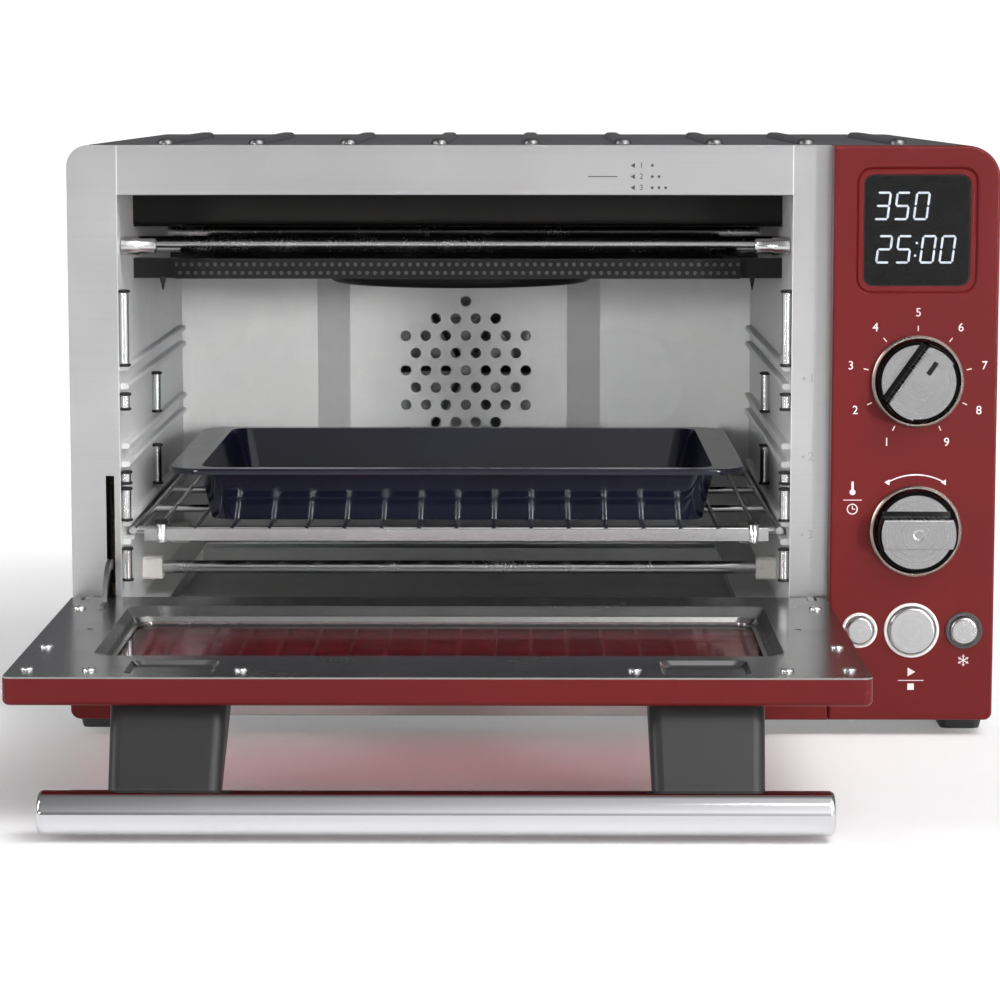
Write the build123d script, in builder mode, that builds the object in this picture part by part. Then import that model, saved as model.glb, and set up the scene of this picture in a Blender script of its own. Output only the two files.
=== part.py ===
"""Countertop toaster oven: an assembly of separate pieces, drawn with the door open.

+X is to the right as the user faces the oven, +Y goes from the user to its back, +Z is up.
The origin is on the table, at the middle of the space that the oven takes with its door down.
All sizes are in millimetres.
"""

from build123d import *
from math import cos, hypot, radians, sin
import os

os.makedirs("parts", exist_ok=True)

# ---- body ----
BODY_WIDTH = 470.0
BODY_DEPTH = 386.0          # from the steel front frame to the back panel
BODY_TOP = 300.0
FOOT_HEIGHT = 8.5
SHEET = 1.0                 # outer sheet steel
LINER_SHEET = 0.8
FRAME_Y = -64.0             # front of the steel frame around the oven's mouth
PANEL_PROUD = 14.0          # how far the painted control panel stands in front of the frame
LEFT_CORNER_R = 11.0
RIGHT_CORNER_R = 17.0
LEFT, RIGHT = -BODY_WIDTH / 2, BODY_WIDTH / 2
BACK_Y = FRAME_Y + BODY_DEPTH
PANEL_Y = FRAME_Y - PANEL_PROUD

# ---- oven cavity ----
CAVITY_LEFT, CAVITY_RIGHT = -209.6, 132.2
CAVITY_FLOOR = 56.0
CAVITY_TOP = 276.0
CAVITY_DEPTH = 318.0
CAVITY_X = (CAVITY_LEFT + CAVITY_RIGHT) / 2
CAVITY_BACK_Y = FRAME_Y + CAVITY_DEPTH
MOUTH_TOP = 274.7
PANEL_LEFT = 151.6          # left edge of the control panel
RAIL_HEIGHTS = (101.0, 141.0, 181.0)
RAIL_PROUD = 4.0

# ---- door, hinged at its lower edge and drawn open ----
DOOR_LEFT, DOOR_RIGHT = -235.0, 151.0
DOOR_X = (DOOR_LEFT + DOOR_RIGHT) / 2
HINGE_Y = FRAME_Y - 6.5
HINGE_Z = 65.5
DOOR_TOP = HINGE_Z + 4.5    # inner face, which faces up when the door is open
DOOR_THICK = 13.0
DOOR_UNDER = DOOR_TOP - DOOR_THICK
DOOR_NEAR_Y = HINGE_Y + 4.0
DOOR_FREE_Y = HINGE_Y - 233.0
DOOR_SHEET = 1.2
GLASS = 2.5
WINDOW_X = (-202.0, 116.5)
WINDOW_Y = (FRAME_Y - 182.0, FRAME_Y - 33.0)
PIN_R = 2.5
RUNNING_GAP = 0.05
LUG_XS = (-226.5, 143.0)
ARM_X = -215.0              # the sprung arm, on the left side only

# ---- handle ----
BAR_R = 10.0
BAR_LENGTH = 350.0
BAR_Y = FRAME_Y - 255.5
BAR_Z = 12.5
BRACKET_XS = (DOOR_X - 120.0, DOOR_X + 120.0)
BRACKET_WIDTH = 52.0
BRACKET_WALL = 3.5

# ---- controls ----
KNOB_X = 194.6
MODE_Z, SELECT_Z = 182.0, 106.0
KNOB_R = 20.4
KNOB_BACK = PANEL_Y - 2.2
KNOB_FACE = PANEL_Y - 7.0
GRIP_FACE = PANEL_Y - 17.0
GRIP_WIDTH = 15.0
GROOVE = 3.2
SHAFT_R = 3.0
MODE_TURN = -35.0
BUTTON_Z = 55.0
BUTTONS = {"left_button": (167.0, 7.0), "start_button": (193.4, 12.0), "right_button": (220.0, 7.0)}
DISPLAY_X, DISPLAY_Z = (163.7, 223.1), (226.8, 288.5)
BOARD_Y = PANEL_Y + 16.0

# ---- inside the cavity ----
RACK_Z = 101.0
RACK_WIRE_R = 2.0
PAN_BASE = 102.9
PAN_TOP = 131.0
TRAY_FLOOR = 44.0
TRAY_X = (-198.0, 114.0)
UPPER_TUBE_Z = 246.0
LOWER_TUBE_Z = 71.0
FRONT_TUBE_S, REAR_TUBE_S = 90.0, 245.0
FAN_X, FAN_Z = CAVITY_X, 160.0


def deep(distance):
    """The Y of a plane this far behind the front frame."""
    return FRAME_Y + distance


def block(x, y, z, mode=Mode.ADD):
    """Adds or cuts a box that runs between the two values given for each axis."""
    with Locations(tuple((low + high) / 2 for low, high in (x, y, z))):
        Box(x[1] - x[0], y[1] - y[0], z[1] - z[0], mode=mode)


def rod(start, end, radius, mode=Mode.ADD):
    """Adds or cuts a round bar from one point to another."""
    path = Vector(*end) - Vector(*start)
    with BuildSketch(Plane(origin=start, z_dir=path.normalized())) as disc:
        Circle(radius)
    extrude(disc.sketch, amount=path.length, mode=mode)


def facing_user(y):
    """A plane that faces the user at this Y: sketch X is to the right and sketch Y is up."""
    return Plane(origin=(0, y, 0), x_dir=(1, 0, 0), z_dir=(0, -1, 0))


def plate_holes(plane, centres, depth, radius=None, slot=None):
    """Cuts round holes, or slots of (length, width), through a sheet whose face is on this plane."""
    with BuildSketch(plane) as holes:
        with Locations(*centres):
            if slot:
                SlotOverall(*slot)
            else:
                Circle(radius)
    extrude(holes.sketch, amount=-depth, mode=Mode.SUBTRACT)


def tapered(rectangles, radius, mode=Mode.ADD):
    """A loft between two rounded rectangles, each given as (z, (x0, x1), (y0, y1))."""
    sections = []
    for z, x, y in rectangles:
        with BuildSketch(Plane.XY.offset(z)) as section:
            with Locations((sum(x) / 2, sum(y) / 2)):
                RectangleRounded(x[1] - x[0], y[1] - y[0], radius)
        sections.append(section.sketch.face())
    loft(sections, mode=mode)


def wider(span, by):
    """A span made longer by this much at both ends."""
    return span[0] - by, span[1] + by


def save(piece, name):
    """Labels a finished piece and writes it."""
    piece.part.label = name
    export_step(piece.part, f"parts/{name}.step")


# ================= outer case =================

def case_outline(inset):
    """The case's cross-section: flat sides and bottom, with a rounded edge along each side of the top."""
    left, right, top = LEFT + inset, RIGHT - inset, BODY_TOP - inset
    small, large = LEFT_CORNER_R - inset, RIGHT_CORNER_R - inset
    bottom = FOOT_HEIGHT - inset
    with BuildLine() as outline:
        Line((left, bottom), (left, top - small))
        RadiusArc((left, top - small), (left + small, top), small)
        Line((left + small, top), (right - large, top))
        RadiusArc((right - large, top), (right, top - large), large)
        Line((right, top - large), (right, bottom))
        Line((right, bottom), (left, bottom))
    return outline.line.edges()


def case_wrap(x, z):
    """The part of the bent case sheet within these spans of X and Z."""
    for inset, mode in ((0, Mode.ADD), (SHEET, Mode.SUBTRACT)):
        with BuildSketch(facing_user(deep(SHEET))) as section:
            make_face(case_outline(inset))
        extrude(section.sketch, amount=-(BODY_DEPTH - 2 * SHEET), mode=mode)
    block(x, (deep(0), BACK_Y), z, mode=Mode.INTERSECT)


RIB_PITCH, RIB_WIDTH, RIB_PROUD = 46.9, 9.0, 3.0
RIB_START, RIB_END = 25.0, 258.0
TOP_SPAN = (LEFT + LEFT_CORNER_R, RIGHT - RIGHT_CORNER_R)

with BuildPart() as top_cover:
    case_wrap(TOP_SPAN, (BODY_TOP - SHEET, BODY_TOP))
    with BuildSketch(Plane.XY.offset(BODY_TOP)):
        with Locations((0, deep((RIB_START + RIB_END) / 2))):
            with GridLocations(RIB_PITCH, 0, 9, 1):
                SlotOverall(RIB_END - RIB_START, RIB_WIDTH, rotation=90)
    extrude(amount=RIB_PROUD)
    fillet(top_cover.edges().filter_by(Plane.XY).group_by(Axis.Z)[-1], RIB_PROUD - 0.3)
save(top_cover, "top_cover")

VENT_SLOT = (26.0, 3.0)
side_vents = [(deep(distance), z) for distance in (250, 284, 318) for z in range(44, 150, 10)]
with BuildPart() as left_side_panel:
    case_wrap((LEFT, TOP_SPAN[0]), (FOOT_HEIGHT, BODY_TOP))
    plate_holes(Plane(origin=(LEFT, 0, 0), x_dir=(0, -1, 0), z_dir=(-1, 0, 0)),
                [(-y, z) for y, z in side_vents], 2 * SHEET, slot=VENT_SLOT)
save(left_side_panel, "left_side_panel")

with BuildPart() as right_side_panel:
    case_wrap((TOP_SPAN[1], RIGHT), (FOOT_HEIGHT, BODY_TOP))
    plate_holes(Plane(origin=(RIGHT, 0, 0), x_dir=(0, 1, 0), z_dir=(1, 0, 0)), side_vents,
                2 * SHEET, slot=VENT_SLOT)
save(right_side_panel, "right_side_panel")

GLAND_X, GLAND_Z, GLAND_R = 196.0, 40.0, 8.0
fan_vents = [(-(FAN_X + dx), FAN_Z + dz) for dx in range(-80, 81, 40) for dz in range(-50, 51, 10)]
case_vents = [(-188.0, z) for z in range(90, 250, 10)]
with BuildPart() as back_panel:
    back_face = Plane(origin=(0, BACK_Y, 0), x_dir=(-1, 0, 0), z_dir=(0, 1, 0))
    with BuildSketch(facing_user(BACK_Y - SHEET)):
        make_face(case_outline(0))
    extrude(amount=-SHEET)
    plate_holes(back_face, fan_vents + case_vents, 2 * SHEET, slot=VENT_SLOT)
    plate_holes(back_face, [(-GLAND_X, GLAND_Z)], 2 * SHEET, radius=GLAND_R)
save(back_panel, "back_panel")

with BuildPart() as base_plate:
    block((LEFT + SHEET, RIGHT - SHEET), (deep(SHEET), BACK_Y - SHEET), (FOOT_HEIGHT, FOOT_HEIGHT + SHEET))
    plate_holes(Plane.XY.offset(FOOT_HEIGHT + SHEET),
                [(x, deep(d)) for x in range(-150, 71, 44) for d in (90, 180, 270)],
                2 * SHEET, slot=(30.0, 4.0))
save(base_plate, "base_plate")

FOOT_X, FOOT_SIZE = 222.0, (24.0, 34.0)
FOOT_YS = (deep(24), deep(BODY_DEPTH - 26))
with BuildPart() as feet:
    for x in (-FOOT_X, FOOT_X):
        for y in FOOT_YS:
            span_x = wider((x, x), FOOT_SIZE[0] / 2)
            span_y = wider((y, y), FOOT_SIZE[1] / 2)
            tapered([(0, wider(span_x, -2), wider(span_y, -2)), (FOOT_HEIGHT, span_x, span_y)], 4)
save(feet, "feet")

# ================= steel front frame =================

with BuildPart() as front_top_rail:
    block((CAVITY_LEFT, CAVITY_RIGHT), (deep(0), deep(SHEET)), (MOUTH_TOP, BODY_TOP))
    block((CAVITY_LEFT, CAVITY_RIGHT), (deep(SHEET), deep(9)), (MOUTH_TOP, MOUTH_TOP + LINER_SHEET))
    fillet(front_top_rail.edges().filter_by(Axis.X).group_by(Axis.Y)[0].sort_by(Axis.Z)[0], 0.7)
save(front_top_rail, "front_top_rail")

SLOT_WIDTH, SLOT_Z = 4.3, (62.0, 132.0)
LUG_WIDTH, LUG_Z = 3.0, (HINGE_Z - 4, HINGE_Z + 4)


def stile(x, lug_x, round_corner):
    """One upright of the front frame, with the slot for the hinge lug."""
    with BuildSketch(facing_user(deep(0))) as upright:
        with Locations(((x[0] + x[1]) / 2, (FOOT_HEIGHT + SHEET + BODY_TOP) / 2)):
            outline = Rectangle(x[1] - x[0], BODY_TOP - FOOT_HEIGHT - SHEET)
        if round_corner:
            fillet(outline.vertices().group_by(Axis.X)[0].sort_by(Axis.Y)[-1], LEFT_CORNER_R)
    extrude(upright.sketch, amount=-SHEET)
    block((lug_x - LUG_WIDTH / 2, lug_x + LUG_WIDTH / 2), (deep(-1), deep(2)), LUG_Z, Mode.SUBTRACT)


with BuildPart() as left_stile:
    stile((LEFT, CAVITY_LEFT), LUG_XS[0], True)
    block((ARM_X - SLOT_WIDTH / 2, ARM_X + SLOT_WIDTH / 2), (deep(-1), deep(2)), SLOT_Z, Mode.SUBTRACT)
save(left_stile, "left_stile")

with BuildPart() as right_stile:
    stile((CAVITY_RIGHT, PANEL_LEFT), LUG_XS[1], False)
save(right_stile, "right_stile")

with BuildPart() as sill:
    block((CAVITY_LEFT, CAVITY_RIGHT), (deep(0), deep(SHEET)), (CAVITY_FLOOR, HINGE_Z + 2.5))
save(sill, "sill")

# ================= painted front =================

TRIM_TOP = 55.5
TRIM_WALL = 1.5


with BuildPart() as lower_trim:
    block((LEFT, TRAY_X[0] - 2.5), (PANEL_Y, deep(0)), (FOOT_HEIGHT, TRIM_TOP))
    fillet(lower_trim.edges().filter_by(Axis.Y).sort_by(Axis.X)[:2].sort_by(Axis.Z)[0], 5)
    block((TRAY_X[1] + 2.5, PANEL_LEFT - 0.5), (PANEL_Y, deep(0)), (FOOT_HEIGHT, TRIM_TOP))
    fillet(lower_trim.faces().filter_by(Axis.Y).group_by(Axis.Y)[0].edges(), 1.0)
    block((LEFT + TRIM_WALL, TRAY_X[0] - 2.5 - TRIM_WALL), (PANEL_Y + TRIM_WALL, deep(1)),
          (FOOT_HEIGHT + TRIM_WALL, TRIM_TOP - TRIM_WALL), Mode.SUBTRACT)
    block((TRAY_X[1] + 2.5 + TRIM_WALL, PANEL_LEFT - 0.5 - TRIM_WALL), (PANEL_Y + TRIM_WALL, deep(1)),
          (FOOT_HEIGHT + TRIM_WALL, TRIM_TOP - TRIM_WALL), Mode.SUBTRACT)
save(lower_trim, "lower_trim")

PANEL_WALL = 2.0
with BuildPart() as control_panel:
    block((PANEL_LEFT, RIGHT), (PANEL_Y, deep(0)), (FOOT_HEIGHT, BODY_TOP))
    corners = control_panel.edges().filter_by(Axis.Y).group_by(Axis.X)[-1].sort_by(Axis.Z)
    fillet(corners[-1], RIGHT_CORNER_R)
    fillet(control_panel.edges().filter_by(Axis.Y).group_by(Axis.X)[-1].sort_by(Axis.Z)[0], 4)
    fillet(control_panel.faces().filter_by(Axis.Y).sort_by(Axis.Y)[0].edges(), 1.5)
    with BuildSketch(facing_user(deep(0))):
        with Locations(((PANEL_LEFT + RIGHT) / 2, (FOOT_HEIGHT + BODY_TOP) / 2)):
            hollow = Rectangle(RIGHT - PANEL_LEFT - 2 * PANEL_WALL, BODY_TOP - FOOT_HEIGHT - 2 * PANEL_WALL)
        fillet(hollow.vertices().group_by(Axis.X)[-1].sort_by(Axis.Y)[-1], RIGHT_CORNER_R - PANEL_WALL)
    extrude(amount=PANEL_PROUD - PANEL_WALL, mode=Mode.SUBTRACT)
    with BuildSketch(facing_user(PANEL_Y)):
        with Locations((sum(DISPLAY_X) / 2, sum(DISPLAY_Z) / 2)):
            RectangleRounded(DISPLAY_X[1] - DISPLAY_X[0], DISPLAY_Z[1] - DISPLAY_Z[0], 7)
        with Locations((KNOB_X, MODE_Z), (KNOB_X, SELECT_Z)):
            Circle(SHAFT_R + 1.5)
        for x, radius in BUTTONS.values():
            with Locations((x, BUTTON_Z)):
                Circle(radius + 0.35)
    extrude(amount=-PANEL_WALL, mode=Mode.SUBTRACT)
    chamfer(control_panel.edges().filter_by(Plane.XZ).filter_by(
        lambda edge: abs(edge.center().Y - PANEL_Y) < 0.01
        and DISPLAY_X[0] - 1 < edge.center().X < DISPLAY_X[1] + 1
        and DISPLAY_Z[0] - 1 < edge.center().Z < DISPLAY_Z[1] + 1), 1.2)
save(control_panel, "control_panel")

with BuildPart() as partition_panel:
    block((148, 149), (deep(SHEET), BACK_Y - SHEET), (FOOT_HEIGHT + SHEET, BODY_TOP - SHEET))
    plate_holes(Plane(origin=(149, 0, 0), x_dir=(0, 1, 0), z_dir=(1, 0, 0)),
                [(deep(d), z) for d in (60, 320) for z in (90, 210)], 2 * SHEET, radius=9)
save(partition_panel, "partition_panel")

# ================= oven liner =================

RAIL_START, RAIL_END = 8.0, 300.0
LINER_Y = (deep(SHEET), CAVITY_BACK_Y)


def rack_rails(wall_x, inward):
    """Pairs of ridges pressed into a liner wall: the rack's side wire slides between each pair."""
    reach = sorted((wall_x, wall_x + inward * RAIL_PROUD))
    for z in RAIL_HEIGHTS:
        for low, high in ((z - 5.4, z - 2.4), (z + 4.0, z + 7.0)):
            block(reach, (deep(RAIL_START), deep(RAIL_END)), (low, high))


with BuildPart() as liner_left:
    block((CAVITY_LEFT - LINER_SHEET, CAVITY_LEFT), LINER_Y, (CAVITY_FLOOR, CAVITY_TOP))
    rack_rails(CAVITY_LEFT, 1)
    fillet(liner_left.edges().filter_by(Axis.Y).group_by(Axis.X)[-1], 1.2)
save(liner_left, "liner_left")

with BuildPart() as liner_right:
    block((CAVITY_RIGHT, CAVITY_RIGHT + LINER_SHEET), LINER_Y, (CAVITY_FLOOR, CAVITY_TOP))
    rack_rails(CAVITY_RIGHT, -1)
    fillet(liner_right.edges().filter_by(Axis.Y).group_by(Axis.X)[0], 1.2)
    rod((CAVITY_RIGHT - 1, deep(246), 225), (CAVITY_RIGHT + 2, deep(246), 225), 2.5, Mode.SUBTRACT)
save(liner_right, "liner_right")

with BuildPart() as liner_top:
    block((CAVITY_LEFT - LINER_SHEET, CAVITY_RIGHT + LINER_SHEET), LINER_Y,
          (CAVITY_TOP, CAVITY_TOP + LINER_SHEET))
save(liner_top, "liner_top")

RUNNER_GAP = 0.4
with BuildPart() as liner_floor:
    block((CAVITY_LEFT, CAVITY_RIGHT), LINER_Y, (CAVITY_FLOOR - LINER_SHEET, CAVITY_FLOOR))
    block(wider(TRAY_X, -3), (deep(12), deep(308)), (CAVITY_FLOOR - 2, CAVITY_FLOOR + 2), Mode.SUBTRACT)
    for x, inward in ((TRAY_X[0] - 1.8, 1), (TRAY_X[1] + 1.8, -1)):
        web = sorted((x, x - inward * LINER_SHEET))
        block(web, (deep(SHEET), deep(300)), (TRAY_FLOOR - 1.4, CAVITY_FLOOR - LINER_SHEET))
        block(sorted((x, x + inward * 7)), (deep(SHEET), deep(300)),
              (TRAY_FLOOR - 1.4, TRAY_FLOOR - RUNNER_GAP))
save(liner_floor, "liner_floor")

BULGE_X, BULGE_Z, BULGE_PROUD, BULGE_SLOPE = (-128.0, 42.0), (62.0, 275.0), 7.0, 20.0
fan_holes = [(FAN_X + 12 * column + (6 if row % 2 else 0), FAN_Z + 10.4 * row)
             for row in range(-4, 5) for column in range(-4, 5)]
fan_holes = [(x, z) for x, z in fan_holes if hypot(x - FAN_X, z - FAN_Z) < 42]
with BuildPart() as liner_back:
    block((CAVITY_LEFT - LINER_SHEET, CAVITY_RIGHT + LINER_SHEET),
          (CAVITY_BACK_Y, CAVITY_BACK_Y + LINER_SHEET),
          (CAVITY_FLOOR - LINER_SHEET, CAVITY_TOP + LINER_SHEET))
    for inset, mode in ((0, Mode.ADD), (LINER_SHEET, Mode.SUBTRACT)):
        for distance, shrink in ((0, 0), (BULGE_PROUD, BULGE_SLOPE)):
            step = 2 * LINER_SHEET if mode == Mode.SUBTRACT and distance == 0 else 0
            with BuildSketch(facing_user(CAVITY_BACK_Y + inset - distance + step)):
                with Locations((sum(BULGE_X) / 2, sum(BULGE_Z) / 2)):
                    RectangleRounded(BULGE_X[1] - BULGE_X[0] - 2 * shrink - 2 * inset,
                                     BULGE_Z[1] - BULGE_Z[0] - 2 * shrink - 2 * inset, 10)
        loft(mode=mode)
    plate_holes(facing_user(CAVITY_BACK_Y - BULGE_PROUD), fan_holes, 3, radius=3.2)
save(liner_back, "liner_back")

POST_R, POST_S = 2.4, 4.0
POST_X = (CAVITY_LEFT + POST_R + 0.05, CAVITY_RIGHT - POST_R - 0.05)
POST_SPANS = ((188.5, 226), (166, 173.5), (128, 133.5), (109, 125), (78, 94))
REAR_POST_S, REAR_POST_SPANS = 150.0, ((151, 172), (111, 132))
with BuildPart() as rack_posts:
    for x in POST_X:
        for distance, spans in ((POST_S, POST_SPANS), (REAR_POST_S, REAR_POST_SPANS)):
            for low, high in spans:
                rod((x, deep(distance), low), (x, deep(distance), high), POST_R)
save(rack_posts, "rack_posts")

# ================= heaters =================

with BuildPart() as upper_heaters:
    for distance in (FRONT_TUBE_S, REAR_TUBE_S):
        rod((CAVITY_LEFT, deep(distance), UPPER_TUBE_Z), (CAVITY_RIGHT, deep(distance), UPPER_TUBE_Z), 4.2)
save(upper_heaters, "upper_heaters")

INSULATOR = 10.4
with BuildPart() as lower_heaters:
    for distance in (FRONT_TUBE_S + 10, REAR_TUBE_S):
        rod((CAVITY_LEFT + INSULATOR, deep(distance), LOWER_TUBE_Z),
            (CAVITY_RIGHT - INSULATOR, deep(distance), LOWER_TUBE_Z), 3.5)
save(lower_heaters, "lower_heaters")

with BuildPart() as heater_insulators:
    for distance in (FRONT_TUBE_S + 10, REAR_TUBE_S):
        for x in ((CAVITY_LEFT, CAVITY_LEFT + INSULATOR), (CAVITY_RIGHT - INSULATOR, CAVITY_RIGHT)):
            block(x, (deep(distance - 6), deep(distance + 6)), (LOWER_TUBE_Z - 6, LOWER_TUBE_Z + 6))
    chamfer(heater_insulators.edges().filter_by(Axis.X), 1.2)
save(heater_insulators, "heater_insulators")

GUARD_X, GUARD_Z = (-187.2, 109.8), (229.0, 239.5)
GUARD_S = (64.0, 268.0)
GUARD_SHEET = 1.0
DOME_R, DOME_DROP = 74.0, 7.0
with BuildPart() as heater_guard:
    block(GUARD_X, (deep(GUARD_S[0]), deep(GUARD_S[1])), (GUARD_Z[0], GUARD_Z[0] + GUARD_SHEET))
    for distance in (GUARD_S[0], GUARD_S[1] - GUARD_SHEET):
        block(GUARD_X, (deep(distance), deep(distance + GUARD_SHEET)), GUARD_Z)
    plate_holes(Plane.XY.offset(GUARD_Z[0] + GUARD_SHEET),
                [(CAVITY_X + dx, deep(d)) for dx in range(-140, 141, 20) for d in (82, 100, 232, 250)],
                2 * GUARD_SHEET, slot=(14.0, 3.0))
    rod((CAVITY_X, deep(166), GUARD_Z[0]), (CAVITY_X, deep(166), GUARD_Z[0] - DOME_DROP), DOME_R)
    fillet(heater_guard.edges().filter_by(GeomType.CIRCLE).group_by(Axis.Z)[0], DOME_DROP - 1)
    for x in (GUARD_X[0], GUARD_X[1] - 6):
        block((x, x + 6), (deep(GUARD_S[0]), deep(GUARD_S[1])), (GUARD_Z[1] - 1, GUARD_Z[1]))
        for distance in (FRONT_TUBE_S, REAR_TUBE_S):
            block((x, x + 6), (deep(distance - 8), deep(distance + 8)), (GUARD_Z[0], GUARD_Z[1]))
    for low, high in ((CAVITY_LEFT, GUARD_X[0]), (GUARD_X[1], CAVITY_RIGHT)):
        for distance in (GUARD_S[0] + 6, GUARD_S[1] - 12):
            block((low, high), (deep(distance), deep(distance + 6)), GUARD_Z)
save(heater_guard, "heater_guard")

REFLECTOR_S, REFLECTOR_Z = (70.0, 290.0), (256.0, CAVITY_TOP)
with BuildPart() as upper_reflector:
    block((CAVITY_LEFT, CAVITY_RIGHT), (deep(REFLECTOR_S[0]), deep(REFLECTOR_S[1])), REFLECTOR_Z)
    fillet(upper_reflector.edges().filter_by(Axis.X).group_by(Axis.Z)[0], 4)
    block((CAVITY_LEFT, CAVITY_RIGHT), (deep(REFLECTOR_S[0] + SHEET), deep(REFLECTOR_S[1] - SHEET)),
          (REFLECTOR_Z[0] + SHEET, REFLECTOR_Z[1]), Mode.SUBTRACT)
save(upper_reflector, "upper_reflector")

SENSOR_AT = (deep(246), 225.0)
with BuildPart() as temperature_sensor:
    rod((CAVITY_RIGHT - 22, *SENSOR_AT), (CAVITY_RIGHT + 8, *SENSOR_AT), 2.45)
    rod((CAVITY_RIGHT + LINER_SHEET, *SENSOR_AT), (CAVITY_RIGHT + 3, *SENSOR_AT), 6)
save(temperature_sensor, "temperature_sensor")

with BuildPart() as insulation:
    block((-205, 128), (deep(30), deep(300)), (CAVITY_TOP + LINER_SHEET, CAVITY_TOP + 13))
    block((-223, CAVITY_LEFT - LINER_SHEET), (deep(66), deep(300)), (60, 270))
    block((CAVITY_RIGHT + LINER_SHEET, 145), (deep(66), deep(230)), (60, 270))
    fillet(insulation.edges().filter_by(Axis.Y), 2)
save(insulation, "insulation")

with BuildPart() as thermal_fuse:
    block((-50, -30), (deep(8), deep(22)), (CAVITY_TOP + LINER_SHEET, CAVITY_TOP + 2.5))
    rod((-40, deep(15), CAVITY_TOP + 2.5), (-40, deep(15), CAVITY_TOP + 10), 6)
    for x in (-44, -37):
        block((x, x + 1), (deep(12), deep(18)), (CAVITY_TOP + 10, CAVITY_TOP + 17))
save(thermal_fuse, "thermal_fuse")

# ================= display and control electronics =================

BEZEL_WALL = 3.0
WINDOW_SPAN = wider(DISPLAY_X, -BEZEL_WALL), wider(DISPLAY_Z, -BEZEL_WALL)


def display_plate(x, z, radius, front, back, mode=Mode.ADD):
    """A plate with rounded corners that faces the user."""
    with BuildSketch(facing_user(front)) as plate:
        with Locations((sum(x) / 2, sum(z) / 2)):
            RectangleRounded(x[1] - x[0], z[1] - z[0], radius)
    extrude(plate.sketch, amount=front - back, mode=mode)


with BuildPart() as display_bezel:
    display_plate(DISPLAY_X, DISPLAY_Z, 7, PANEL_Y + 0.6, PANEL_Y + 6)
    display_plate(*WINDOW_SPAN, 5, PANEL_Y + 0.6, PANEL_Y + 6, Mode.SUBTRACT)
    chamfer(display_bezel.edges().group_by(Axis.Y)[0], 0.4)
save(display_bezel, "display_bezel")

with BuildPart() as display_lens:
    display_plate(*WINDOW_SPAN, 5, PANEL_Y + 1.0, PANEL_Y + 3.0)
save(display_lens, "display_lens")

with BuildPart() as display_module:
    display_plate(wider(WINDOW_SPAN[0], -0.5), wider(WINDOW_SPAN[1], -0.5), 4.5, PANEL_Y + 3.0, PANEL_Y + 9)
    for x in WINDOW_SPAN[0]:
        for z in WINDOW_SPAN[1]:
            inward_x = 6 if x == WINDOW_SPAN[0][0] else -6
            inward_z = 6 if z == WINDOW_SPAN[1][0] else -6
            rod((x + inward_x, PANEL_Y + 9, z + inward_z), (x + inward_x, BOARD_Y, z + inward_z), 2)
save(display_module, "display_module")

SWITCH_TOP = PANEL_Y + 11.4
with BuildPart() as control_board:
    block((156, 231), (BOARD_Y, BOARD_Y + 1.6), (22, 292))
    for x, radius in BUTTONS.values():
        block((x - 4, x + 4), (SWITCH_TOP + 1, BOARD_Y), (BUTTON_Z - 4, BUTTON_Z + 4))
        rod((x, SWITCH_TOP, BUTTON_Z), (x, SWITCH_TOP + 1, BUTTON_Z), 1.8)
    for x, z, width, height in ((176, 140, 14, 14), (206, 144, 9, 12), (170, 76, 10, 8)):
        block((x, x + width), (BOARD_Y + 1.6, BOARD_Y + 4), (z, z + height))
save(control_board, "control_board")

with BuildPart() as rotary_encoders:
    for z in (MODE_Z, SELECT_Z):
        block((KNOB_X - 8, KNOB_X + 8), (PANEL_Y + 5, BOARD_Y), (z - 8, z + 8))
        rod((KNOB_X, PANEL_Y + 2.4, z), (KNOB_X, PANEL_Y + 5, z), 4.6)
        rod((KNOB_X, PANEL_Y + 1, z), (KNOB_X, BOARD_Y - 1, z), SHAFT_R + RUNNING_GAP, Mode.SUBTRACT)
save(rotary_encoders, "rotary_encoders")


def ring(x, z, outer, inner, front, back):
    """A trim ring standing on the panel's face."""
    with BuildSketch(facing_user(front)) as washer:
        with Locations((x, z)):
            Circle(outer)
            Circle(inner, mode=Mode.SUBTRACT)
    extrude(washer.sketch, amount=front - back)


with BuildPart() as knob_rings:
    for z in (MODE_Z, SELECT_Z):
        ring(KNOB_X, z, 23.2, 21.0, PANEL_Y - 3, PANEL_Y)
    chamfer(knob_rings.edges().filter_by(GeomType.CIRCLE).group_by(Axis.Y)[0], 0.7)
save(knob_rings, "knob_rings")

with BuildPart() as button_rings:
    for x, radius in BUTTONS.values():
        ring(x, BUTTON_Z, radius + 2.0, radius + 0.4, PANEL_Y - 1.2, PANEL_Y)
    chamfer(button_rings.edges().filter_by(GeomType.CIRCLE).group_by(Axis.Y)[0], 0.4)
save(button_rings, "button_rings")

with BuildPart() as power_board:
    block((156, 157.6), (deep(120), deep(290)), (40, 170))
    for distance in (126, 284):
        for z in (46, 164):
            rod((149, deep(distance), z), (156, deep(distance), z), 3)
    block((157.6, 184), (deep(140), deep(170)), (60, 95))
    block((157.6, 176), (deep(190), deep(212)), (60, 86))
    block((157.6, 176), (deep(190), deep(212)), (100, 126))
    for distance, z in ((235, 70), (255, 70), (235, 120)):
        rod((157.6, deep(distance), z), (182, deep(distance), z), 8)
save(power_board, "power_board")

with BuildPart() as terminal_block:
    block((180, 212), (deep(300), deep(322)), (FOOT_HEIGHT + SHEET, 34))
    for x in (186, 196, 206):
        rod((x, deep(311), 30), (x, deep(311), 40), 3.2, Mode.SUBTRACT)
save(terminal_block, "terminal_block")

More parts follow.
